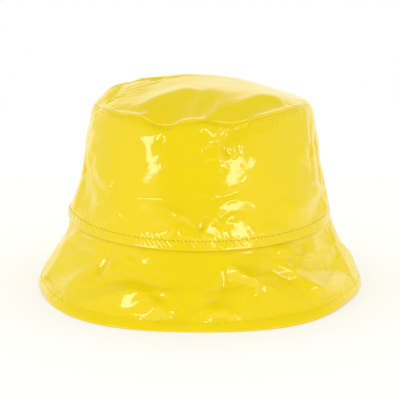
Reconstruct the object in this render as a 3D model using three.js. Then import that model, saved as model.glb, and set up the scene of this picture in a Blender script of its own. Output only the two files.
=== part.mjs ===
// A rain bucket hat in glossy coated cloth, standing on its brim as it does when it is taken off.
// Millimetres, +Z up, the front towards -Y, and the origin on the surface under the hat's middle.
// It is cut and sewn from three pieces: the top of the crown, the side of the crown and the brim.
// The brim is two layers turned at the edge. Both seams have their allowance turned inside, where
// it lies behind the side of the crown. Angles run from the front round to +X, in degrees.
import * as THREE from "three";

// Driving sizes.
const HEAD_ROUND = 572; // inside the brim's collar, where the head goes in
const OVAL = 1.04; // depth over width
const CLOTH = 1.5;
const BRIM_CLOTH = 2.5;
const GAP = 0.3; // left between two pieces that are sewn together
const CROWN_HEIGHT = 83.7; // from the brim's seam to the top's seam
const BRIM_DROP = 49.7; // from the brim's seam down to the surface it rests on
const DOME = 10.5; // how far the top rises above its seam
const DOME_POWER = 2.2;
const LEAN = 1.5; // how far the top of the crown sits over to +X
const AROUND = 80; // facets around each piece
const SIDE_STEPS = 12; // facets up the side, of which the seam allowances each take one
const BRIM_STEPS = 8;
const TOP_RINGS = 8;

const headHalfWidth = HEAD_ROUND / Math.PI / (1 + OVAL);
const seamHalfWidth = headHalfWidth + BRIM_CLOTH + GAP + CLOTH;

// The side of the crown: the share of its height, and its half width over that at the seam.
const SIDE_SECTIONS = [
  { height: 0, width: 1 },
  { height: 0.12, width: 0.975 },
  { height: 0.27, width: 0.938 },
  { height: 0.46, width: 0.909 },
  { height: 0.65, width: 0.891 },
  { height: 0.82, width: 0.862 },
  { height: 0.92, width: 0.848 },
  { height: 0.97, width: 0.828 },
  { height: 1, width: 0.8 },
];

// The brim below its seam: the share of the drop, and its half width over that at the seam.
const BRIM_SECTIONS = [
  { drop: 0, width: 0.983 },
  { drop: 0.1, width: 1.003 },
  { drop: 0.24, width: 1.02 },
  { drop: 0.4, width: 1.062 },
  { drop: 0.56, width: 1.121 },
  { drop: 0.72, width: 1.172 },
  { drop: 0.84, width: 1.207 },
  { drop: 0.94, width: 1.237 },
  { drop: 1, width: 1.248 },
];

// Waves of the seam round the top: the angle, the half spread in degrees and the rise.
const TOP_SEAM_WAVES = [
  { angle: -38, spread: 15, rise: 1.6 },
  { angle: -21, spread: 15, rise: -2.3 },
  { angle: -2, spread: 18, rise: 2.4 },
  { angle: 19, spread: 13, rise: -2.8 },
  { angle: 50, spread: 40, rise: 2.4 },
  { angle: 132, spread: 62, rise: -9.6 },
  { angle: -113, spread: 38, rise: -4.8 },
  { angle: -166, spread: 34, rise: 0.6 },
];

// Waves of the brim's edge: the angle, the half spread, how far it lifts and how far it bulges.
const EDGE_WAVES = [
  { angle: -40, spread: 40, rise: 0, out: 6.6 },
  { angle: 34, spread: 34, rise: 0, out: 5.6 },
  { angle: -72, spread: 15, rise: 1.2, out: 0 },
  { angle: 60, spread: 22, rise: 1, out: 0 },
  { angle: 118, spread: 27, rise: 1.8, out: 0 },
  { angle: -150, spread: 22, rise: 1.4, out: 0 },
];

// Folds and dents of the side of the crown: the angle, the height over the seam, the half length
// and half breadth of the fold, its turn from the level, and how far it stands out or lies in.
const SIDE_FOLDS = [
  { angle: 14, height: 71, length: 11, breadth: 8, turn: 0, out: -3.2 },
  { angle: -21, height: 76, length: 13, breadth: 7, turn: -8, out: -2.2 },
  { angle: -2, height: 66, length: 15, breadth: 8, turn: 80, out: 1.2 },
  { angle: -8, height: 31, length: 26, breadth: 8, turn: 5, out: -1.5 },
  { angle: -6, height: 15, length: 22, breadth: 7, turn: -25, out: 1.1 },
  { angle: 27, height: 44, length: 18, breadth: 9, turn: 30, out: -1.2 },
  { angle: -68, height: 44, length: 22, breadth: 7, turn: 72, out: -2.4 },
  { angle: -86, height: 63, length: 17, breadth: 8, turn: 90, out: -1.6 },
  { angle: -92, height: 29, length: 17, breadth: 10, turn: 84, out: -2.8 },
  { angle: -88, height: 5, length: 14, breadth: 7, turn: 0, out: 2 },
  { angle: -80, height: 78, length: 13, breadth: 8, turn: -50, out: -2.5 },
  { angle: 70, height: 57, length: 22, breadth: 8, turn: 76, out: -2.2 },
  { angle: 84, height: 25, length: 18, breadth: 8, turn: -70, out: 1.6 },
  { angle: 118, height: 50, length: 26, breadth: 10, turn: 62, out: -2.6 },
  { angle: 150, height: 24, length: 24, breadth: 9, turn: -20, out: -1.8 },
  { angle: 178, height: 58, length: 24, breadth: 10, turn: 14, out: -1.9 },
  { angle: -150, height: 30, length: 22, breadth: 9, turn: 35, out: 1.8 },
  { angle: -122, height: 60, length: 25, breadth: 9, turn: -58, out: -2.3 },
];

// Folds and dents of the brim, placed by the angle and the reach from the seam down the slope.
const BRIM_FOLDS = [
  { angle: -90, reach: 9, length: 10, breadth: 6, turn: 80, out: -3 },
  { angle: -79, reach: 12, length: 12, breadth: 5, turn: 70, out: 1.8 },
  { angle: 84, reach: 8, length: 11, breadth: 6, turn: -75, out: -3.4 },
  { angle: 95, reach: 14, length: 12, breadth: 6, turn: -80, out: 1.8 },
  { angle: -43, reach: 18, length: 12, breadth: 6, turn: 50, out: -1.6 },
  { angle: -24, reach: 36, length: 17, breadth: 6, turn: 34, out: 1.5 },
  { angle: -5, reach: 42, length: 18, breadth: 7, turn: 24, out: -1.3 },
  { angle: 22, reach: 25, length: 15, breadth: 7, turn: -30, out: 1.6 },
  { angle: 34, reach: 22, length: 12, breadth: 6, turn: -28, out: -1.4 },
  { angle: 57, reach: 34, length: 24, breadth: 9, turn: -22, out: -2.4 },
  { angle: -62, reach: 36, length: 20, breadth: 8, turn: 30, out: -2 },
  { angle: 125, reach: 28, length: 20, breadth: 8, turn: 35, out: -2.2 },
  { angle: 165, reach: 34, length: 22, breadth: 9, turn: -24, out: 1.8 },
  { angle: -152, reach: 26, length: 20, breadth: 8, turn: 28, out: -2 },
  { angle: -118, reach: 34, length: 18, breadth: 8, turn: -30, out: 1.7 },
];

// Folds and dents of the top, placed by how far they lie to +X and to +Y of its middle.
const TOP_FOLDS = [
  { x: -17, y: -44, length: 25, breadth: 14, turn: 14, out: -1.8 },
  { x: 46, y: -40, length: 25, breadth: 13, turn: 24, out: -1.8 },
  { x: 8, y: -36, length: 28, breadth: 8, turn: 48, out: 1.4 },
  { x: -60, y: 0, length: 30, breadth: 10, turn: 62, out: 2.2 },
  { x: 50, y: 42, length: 34, breadth: 16, turn: -42, out: -3.8 },
  { x: -20, y: 30, length: 30, breadth: 12, turn: 20, out: -1.2 },
];

const radians = THREE.MathUtils.degToRad;

// A bell of height 1 that falls off over one unit each way, and a hump that ends there.
const bell = (a, b) => Math.exp(-a * a - b * b);
const hump = (a) => (Math.abs(a) < 1 ? Math.cos((Math.PI / 2) * a) ** 2 : 0);

// The way from one angle to another, round the shorter side, in degrees.
const turnBetween = (from, to) => THREE.MathUtils.euclideanModulo(to - from + 180, 360) - 180;

// One fold at a place that lies along and up from the fold's own middle.
function fold(row, along, up) {
  const c = Math.cos(radians(row.turn));
  const s = Math.sin(radians(row.turn));
  return row.out * bell((along * c + up * s) / row.length, (up * c - along * s) / row.breadth);
}

// The sum of the waves at an angle, and of the folds at a place on the side, brim or top.
const along = (row, angle) => radians(turnBetween(row.angle, angle)) * seamHalfWidth;
const total = (rows, valueOf) => rows.reduce((sum, row) => sum + valueOf(row), 0);
const waves = (rows, angle, column = "rise") =>
  total(rows, (row) => row[column] * hump(turnBetween(row.angle, angle) / row.spread));
const sideFolds = (angle, height) =>
  total(SIDE_FOLDS, (row) => fold(row, along(row, angle), height - row.height));
const brimFolds = (angle, reach) =>
  total(BRIM_FOLDS, (row) => fold(row, along(row, angle), row.reach - reach));
const topFolds = (x, y) => total(TOP_FOLDS, (row) => fold(row, x - row.x, y - row.y));

// The line through a table's sections, from the bottom up, in half widths and heights.
function sectionLine(sections, heightOf) {
  return new THREE.SplineCurve(
    sections.map((row) => new THREE.Vector2(row.width * seamHalfWidth, heightOf(row))),
  );
}

// Even steps along a line: each one's point, the normal to its right and the way come so far.
function stepsAlong(line, count) {
  return Array.from({ length: count + 1 }, (_, i) => {
    const tangent = line.getTangentAt(i / count);
    return {
      point: line.getPointAt(i / count),
      tangent,
      normal: new THREE.Vector2(tangent.y, -tangent.x),
      way: (line.getLength() * i) / count,
    };
  });
}

const sideLine = sectionLine(SIDE_SECTIONS, (row) => BRIM_DROP + row.height * CROWN_HEIGHT);
const brimLine = sectionLine(BRIM_SECTIONS.toReversed(), (row) => BRIM_DROP * (1 - row.drop));
const sideSteps = stepsAlong(sideLine, SIDE_STEPS);
const brimSteps = stepsAlong(brimLine, BRIM_STEPS);
const hemWay = sideSteps.at(-2).way;

// A row of a piece's closed section is a point in the section's plane, with what moves it at each
// angle: push is how far it goes along its normal, lift how far up and lean how far to +X.
// The last step of the side, with the top's seam allowance behind it, moves as one.
function sideRow(step, depth, past = 0) {
  const way = Math.min(step.way, hemWay);
  const share = way / hemWay;
  const point = step.point.clone().addScaledVector(step.tangent, past);
  return {
    point: point.addScaledVector(step.normal, -depth),
    normal: step.normal,
    push: (angle) => sideFolds(angle, way),
    lift: (angle) => waves(TOP_SEAM_WAVES, angle) * share ** 2,
    lean: LEAN * share,
  };
}

// The brim's folds die out at its seam, where it goes with the side, and at the edge it rests on.
function brimRow(step, depth) {
  const { smoothstep } = THREE.MathUtils;
  const reach = brimLine.getLength() - step.way;
  const share = reach / brimLine.getLength();
  const free = smoothstep(reach, 0, 6) * smoothstep(step.way, 2, 14);
  const held = 1 - smoothstep(reach, 0, 12);
  const normal = step.normal.clone().lerp(new THREE.Vector2(1, 0), share ** 6).normalize();
  return {
    point: step.point.clone().addScaledVector(normal, -depth),
    normal,
    push: (angle) =>
      free * brimFolds(angle, reach) +
      held * sideFolds(angle, 0) +
      share ** 2 * waves(EDGE_WAVES, angle, "out"),
    lift: (angle) => waves(EDGE_WAVES, angle) * share ** 3,
    lean: 0,
  };
}

// The top is a dome whose rim goes with the seam. Its folds fade out towards that rim.
function topRow(share, depth) {
  const { point: seam, normal } = sideSteps.at(-1);
  const height = seam.y + GAP + CLOTH - depth + DOME * (1 - share ** DOME_POWER);
  return {
    point: new THREE.Vector2(seam.x * share, height),
    normal,
    push: (angle) => sideFolds(angle, hemWay) * share ** 6,
    lift: (angle, place) =>
      waves(TOP_SEAM_WAVES, angle) * share ** 4 + topFolds(place.x, place.y) * (1 - share ** 6),
    lean: LEAN,
  };
}

// Revolves a closed section, makes the ring or cap oval and moves each row as it says.
function sewn(name, rows, material) {
  const geometry = new THREE.LatheGeometry(rows.map((row) => row.point), AROUND);
  geometry.rotateX(Math.PI / 2);
  const position = geometry.attributes.position;
  const place = new THREE.Vector3();
  for (let i = 0; i < position.count; i += 1) {
    const row = rows[i % rows.length];
    const angle = (360 * Math.floor(i / rows.length)) / AROUND;
    const push = row.push(angle);
    place.fromBufferAttribute(position, i);
    const lift = row.lift(angle, place);
    place.x += push * row.normal.x * Math.sin(radians(angle)) + row.lean;
    place.y -= push * row.normal.x * Math.cos(radians(angle));
    place.z += push * row.normal.y + lift;
    position.setXYZ(i, place.x, place.y * OVAL, place.z);
  }
  geometry.computeVertexNormals();
  const mesh = new THREE.Mesh(geometry, material);
  mesh.name = name;
  return mesh;
}

const coated = (color) => new THREE.MeshStandardMaterial({ color, roughness: 0.12, metalness: 0 });

function crownSide() {
  const outside = sideSteps.map((step) => sideRow(step, 0));
  const inside = sideSteps.map((step) => sideRow(step, CLOTH)).reverse();
  return sewn("crown_side", [...outside, ...inside, outside[0]], coated("#f2d21c"));
}

// The brim's collar stands behind the first step of the side.
function brim() {
  const collar = sideSteps.slice(0, 2);
  const face = CLOTH + GAP;
  const outside = [
    ...brimSteps.slice(0, -1).map((step) => brimRow(step, 0)),
    ...collar.map((step) => sideRow(step, face)),
  ];
  const inside = [
    ...brimSteps.slice(0, -1).map((step) => brimRow(step, BRIM_CLOTH)),
    ...collar.map((step) => sideRow(step, face + BRIM_CLOTH)),
  ];
  return sewn("brim", [...outside, ...inside.reverse(), outside[0]], coated("#f5d51a"));
}

// The top lies on the side's upper edge, and its collar hangs behind the last step of the side.
function crownTop() {
  const [hem, seam] = sideSteps.slice(-2);
  const face = CLOTH + GAP;
  const shares = Array.from({ length: TOP_RINGS + 1 }, (_, i) => i / TOP_RINGS);
  return sewn("crown_top", [
    ...shares.slice(0, -1).map((share) => topRow(share, CLOTH)),
    sideRow(seam, face + CLOTH),
    sideRow(hem, face + CLOTH),
    sideRow(hem, face),
    sideRow(seam, face, GAP),
    sideRow(seam, 0, GAP),
    ...shares.map((share) => topRow(share, 0)).reverse(),
  ], coated("#f0d022"));
}

const hat = new THREE.Group();
hat.name = "rain_bucket_hat";
hat.add(crownTop(), crownSide(), brim());

export default hat;
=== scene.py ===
"""Rain bucket hat in glossy coated cloth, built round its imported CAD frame.

The top, the side and the brim are thin closed shells: numpy surfaces over an angle and a way
along the cloth. Short tables hold their sections, waves and broad folds, as in the part's source,
and longer tables hold the creases, a few values for each. The rows of stitches are small loops of
thread that are laid on those surfaces.

Sizes in the tables are in millimetres, and meshes are in metres. Angles run from the front of
the hat, -Y, round to +X, in degrees. A way runs up the cloth, and a reach runs down the brim.
"""

from collections import namedtuple

import bpy
import numpy as np
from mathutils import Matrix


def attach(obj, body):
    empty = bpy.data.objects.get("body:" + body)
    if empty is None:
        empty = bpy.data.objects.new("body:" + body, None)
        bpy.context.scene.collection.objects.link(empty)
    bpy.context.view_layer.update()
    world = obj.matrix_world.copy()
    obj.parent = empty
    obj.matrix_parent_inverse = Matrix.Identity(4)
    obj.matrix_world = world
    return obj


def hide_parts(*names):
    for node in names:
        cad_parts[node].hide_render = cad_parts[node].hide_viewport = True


bl_info = {
    "name": "Rain Bucket Hat",
    "version": (1, 0, 0),
    "blender": (4, 5, 0),
    "location": "3D View > Sidebar > Rain Hat",
    "description": "Builds a soft, glossy rain bucket hat with its seams and stitches",
    "category": "Add Mesh",
}

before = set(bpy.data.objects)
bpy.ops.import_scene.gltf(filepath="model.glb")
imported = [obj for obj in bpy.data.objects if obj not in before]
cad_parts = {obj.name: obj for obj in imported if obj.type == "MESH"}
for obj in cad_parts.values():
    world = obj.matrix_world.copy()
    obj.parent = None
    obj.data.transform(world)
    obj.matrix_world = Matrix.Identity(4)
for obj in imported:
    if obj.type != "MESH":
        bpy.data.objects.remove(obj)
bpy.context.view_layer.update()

MM = 0.001

# Cut sizes in millimetres, as in the part's source.
HEAD_ROUND = 572  # round the head opening
OVAL = 1.04  # depth over width
CLOTH = 1.5
BRIM_CLOTH = 2.5  # two layers
GAP = 0.3  # left between two pieces that are sewn together
CROWN_HEIGHT = 83.7  # from the brim's seam to the top's seam
BRIM_DROP = 49.7  # from the brim's seam down to the floor
DOME = 10.5  # from the top's seam up to the top's middle
DOME_POWER = 2.2  # how flat the middle is
LEAN = 1.5  # how far the top of the crown sits over to +X
ALLOWANCE = 7.2  # cloth turned inside at each seam
SEAM = HEAD_ROUND / np.pi / (1 + OVAL) + BRIM_CLOTH + GAP + CLOTH  # half width at the brim's seam

# The side of the crown: share of its height, and half width over that at the brim's seam.
SIDE_SECTIONS = (
    (0, 1), (0.12, 0.975), (0.27, 0.938), (0.46, 0.909), (0.65, 0.891),
    (0.82, 0.862), (0.92, 0.848), (0.97, 0.828), (1, 0.8),
)
# The brim: share of its drop, and half width over that at the brim's seam.
BRIM_SECTIONS = (
    (0, 0.983), (0.1, 1.003), (0.24, 1.02), (0.4, 1.062), (0.56, 1.121),
    (0.72, 1.172), (0.84, 1.207), (0.94, 1.237), (1, 1.248),
)

# Waves of a seam or edge: the angle, the half spread in degrees, how far it rises and bulges.
Wave = namedtuple("Wave", "angle spread rise out", defaults=(0,))
TOP_SEAM_WAVES = (
    Wave(-38, 15, 1.6), Wave(-21, 15, -2.3), Wave(-2, 18, 1.2), Wave(19, 13, -0.6),
    Wave(50, 40, 2.4), Wave(132, 62, -9.6), Wave(-113, 38, -4.8), Wave(-166, 34, 0.6),
    Wave(-82, 24, -2.4),
)
EDGE_WAVES = (
    Wave(-40, 40, 0, 6.6), Wave(34, 34, 0, 5.6), Wave(-72, 15, 1.2), Wave(60, 22, 1),
    Wave(118, 27, 1.8), Wave(-150, 22, 1.4),
)

# A fold: its middle, its half length and half breadth, its turn from the level in degrees, and how
# far it stands out. For the top, the middle is a place in x and y.
Fold = namedtuple("Fold", "angle way length breadth turn out")
TopFold = namedtuple("TopFold", "x y length breadth turn out")
SIDE_FOLDS = (
    Fold(14, 71, 11, 8, 0, -3.2), Fold(-21, 76, 13, 7, -8, -2.2), Fold(-2, 66, 15, 8, 80, 1.2),
    Fold(-8, 31, 26, 8, 5, -1.5), Fold(-6, 15, 22, 7, -25, 1.1), Fold(27, 44, 18, 9, 30, -1.2),
    Fold(-68, 44, 22, 7, 72, -2.4), Fold(-86, 63, 17, 8, 90, -1.6), Fold(-92, 29, 17, 10, 84, -2.8),
    Fold(-88, 5, 14, 7, 0, 2), Fold(-80, 78, 13, 8, -50, -2.5), Fold(70, 57, 22, 8, 76, -2.2),
    Fold(84, 25, 18, 8, -70, 1.6), Fold(118, 50, 26, 10, 62, -2.6), Fold(150, 24, 24, 9, -20, -1.8),
    Fold(178, 58, 24, 10, 14, -1.9), Fold(-150, 30, 22, 9, 35, 1.8), Fold(-122, 60, 25, 9, -58, -2.3),
)
BRIM_FOLDS = (
    Fold(-90, 9, 10, 6, 80, -3), Fold(-79, 12, 12, 5, 70, 1.8), Fold(84, 8, 11, 6, -75, -3.4),
    Fold(95, 14, 12, 6, -80, 1.8), Fold(-43, 18, 12, 6, 50, -1.6), Fold(-24, 36, 17, 6, 34, 1.5),
    Fold(-5, 42, 18, 7, 24, -1.3), Fold(22, 25, 15, 7, -30, 1.6), Fold(34, 22, 12, 6, -28, -1.4),
    Fold(57, 34, 24, 9, -22, -2.4), Fold(-62, 36, 20, 8, 30, -2), Fold(125, 28, 20, 8, 35, -2.2),
    Fold(165, 34, 22, 9, -24, 1.8), Fold(-152, 26, 20, 8, 28, -2), Fold(-118, 34, 18, 8, -30, 1.7),
)
TOP_FOLDS = (
    TopFold(-17, -44, 25, 14, 14, -1.8), TopFold(46, -40, 25, 13, 24, -1.8),
    TopFold(8, -36, 28, 8, 48, 1.4), TopFold(-60, 0, 30, 10, 62, 2.2),
    TopFold(50, 42, 34, 16, -42, -3.8), TopFold(-20, 30, 30, 12, 20, -1.2),
)

# Millimetres over which the brim's own folds begin below its seam and above its edge, and over
# which the side's folds end below the seam.
FOLDS_BELOW_SEAM = (0, 6)
FOLDS_ABOVE_EDGE = (2, 14)
SIDE_FOLDS_END = (0, 12)

# Creases: over how many millimetres they ease in and out at the lower and the upper edge.
SIDE_CREASE_ENDS = (5, 4)
BRIM_CREASE_ENDS = (6, 5)
BACK_SHARE = 0.6  # how strong the creases of the back are, for those of the front
BACK_STARTS = (88, 112)  # angles over which the front's creases give way to the back's
ROUNDING = 0.02  # how much a crease's ridge is rounded

# Puckers, the small waves beside the stitches: how many go round the hat, and their share.
PUCKER_WAVES = ((43, 0.3), (61, 0.3), (79, 0.25), (103, 0.25), (139, 0.2))
PUCKER_SLANT = 0.3  # degrees round the hat for a millimetre up it
TOP_PUCKER_TURN = 40  # how far round the hat the puckers at the top's seam are moved
# Their height above the brim's seam, below and above the top's seam, and at the brim's edge.
HEM_PUCKER = 0.16
TOP_PUCKER = 0.2
RIM_PUCKER = 0.1
EDGE_PUCKER = 0.12
# Where they start, are full, fade and end: up from the side's lower edge, up from the top's seam,
# by the share of the way out over the top, and up from the brim's edge.
HEM_BAND = (0.5, 4, 8, 15)
TOP_SEAM_BAND = (-14, -4, -2, 0)
RIM_BAND = (0.88, 0.96, 0.98, 1.0)
EDGE_BAND = (0.5, 5, 8, 14)

# The finest puckers, which are only in the material: how many go round the hat, and their height.
FINE_PUCKERS = ((113, 0.05), (149, 0.05), (173, 0.055), (211, 0.02))
FINE_SLANT = 0.0105  # radians round the hat for a millimetre up it
SIDE_PUCKERS = 0.4  # how strong they are at the sides and the back
FRONT_STARTS = (0.1, 0.65)  # cosines of the angles over which they grow to full at the front
# Each piece's ways in its UV map start at their own value, so that the bands below find their piece.
SIDE_UV_START, TOP_UV_START, BRIM_UV_START = 0, 200, 400
# Where the finest puckers start, are full, fade and end, and how strong they are.
FINE_BANDS = ((0.5, 2.5, 6.5, 9, 1.0), (78, 82, 84.6, 86, 0.8), (400.5, 402.5, 406.3, 409, 0.35))

# Rows of stitches: up from the brim's seam, down from the top's seam, and in from the edge.
HEM_ROW = 6.6
TOP_ROW = 1.9
EDGE_ROW = 6.3
GROOVE = 0.12  # how deep the cloth is drawn in along a row
GROOVE_WIDTH = 0.9  # half the width of that groove
SEAM_ROLL = 0.12  # how far the two edges at the top's seam are rounded
SEAM_CLOSING = 0.145  # how far each of them closes the gap

# Points of each shell: round the hat, and up the outside and the inside of each piece.
COLUMNS = 576
CROWDING = 0.4  # how much closer they lie at the front
SIDE_ROWS = (118, 32)
BRIM_ROWS = (92, 46)
TOP_ROWS = (85, 33)
COLLAR_ROWS = 8
ROLL_ROWS = 7
BRIM_TO_COLLAR = 2  # millimetres from the brim's last row to its seam
UNDERSIDE_INSET = 0.04  # share of the way out between the top's underside and its collar
FLOOR_COLUMNS = 96
FLOOR_RINGS = 8

# A loop of thread: how far it rises and sinks in half thicknesses, how thick its ends are, and its
# places along and its points round.
LOOP_RISE = 1.7
LOOP_SINK = 0.9
LOOP_ENDS = 0.55
LOOP_PLACES = 7
LOOP_SIDES = 6
# Each needle hole is drawn as a flat dark hexagon laid just over the cloth: painted shade, a dark sheet
# where the hole's shade falls.
HOLE_HEIGHT = 0.8  # of a needle hole's width
HOLE_LIFT = 0.04  # millimetres over the cloth

# Patterns of the looks: how many to a metre, and how high they stand, in metres.
CLOUDS_PER_METRE = 28.0
RIPPLES_PER_METRE = 230.0
GRAINS_PER_METRE = 1400.0
FIBRES_PER_METRE = 2600.0
TWISTS_PER_METRE = 5200.0
# The needle holes' painted shade varies over this pattern.
HOLE_SHADE_CLOUDS_PER_METRE = 900.0
FLOOR_CLOUDS_PER_METRE = 6.0
RIPPLE_HEIGHT = 0.00006
GRAIN_HEIGHT = 0.00003
WEAVE_HEIGHT = 0.0001

# How much a look's colour varies: its darkest and its lightest tone, over its own colour.
CLOTH_TONES = (0.965, 1.03)
BACK_TONES = (0.86, 1.0)
THREAD_TONES = (0.8, 1.05)
# Tones of the needle holes' painted shade.
HOLE_SHADE_TONES = (0.8, 1.2)
FLOOR_TONES = (0.99, 1.0)

# The reflected room, by the direction's level share away from the camera, or by its share upwards:
# where each part eases from nothing to full.
FRONT_WALL_ENDS = (-0.83, -0.62)
CEILING_STARTS = (0.31, 0.74)
BACKDROP_STARTS = (0.53, 0.77)
BACKDROP_TOP = (0.358, 0.454)

# Softboxes: name, azimuth and width in degrees.
SOFTBOXES = (("left_softbox", -46, 20), ("right_softbox", 33, 20))
SOFTBOX_HEIGHTS = (-2.5, 7.0)  # degrees from level to their lower and upper ends
SOFTBOX_DISTANCE = 2.5  # metres
HAT_MIDDLE = 0.1  # metres over the floor

CAMERA_PLACE = (0, -1.5, 0.466)  # metres
CAMERA_TILT = 15.17  # degrees down from level
CAMERA_LENS = 195  # millimetres, like the width of the sensor
CAMERA_SENSOR = 36

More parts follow.
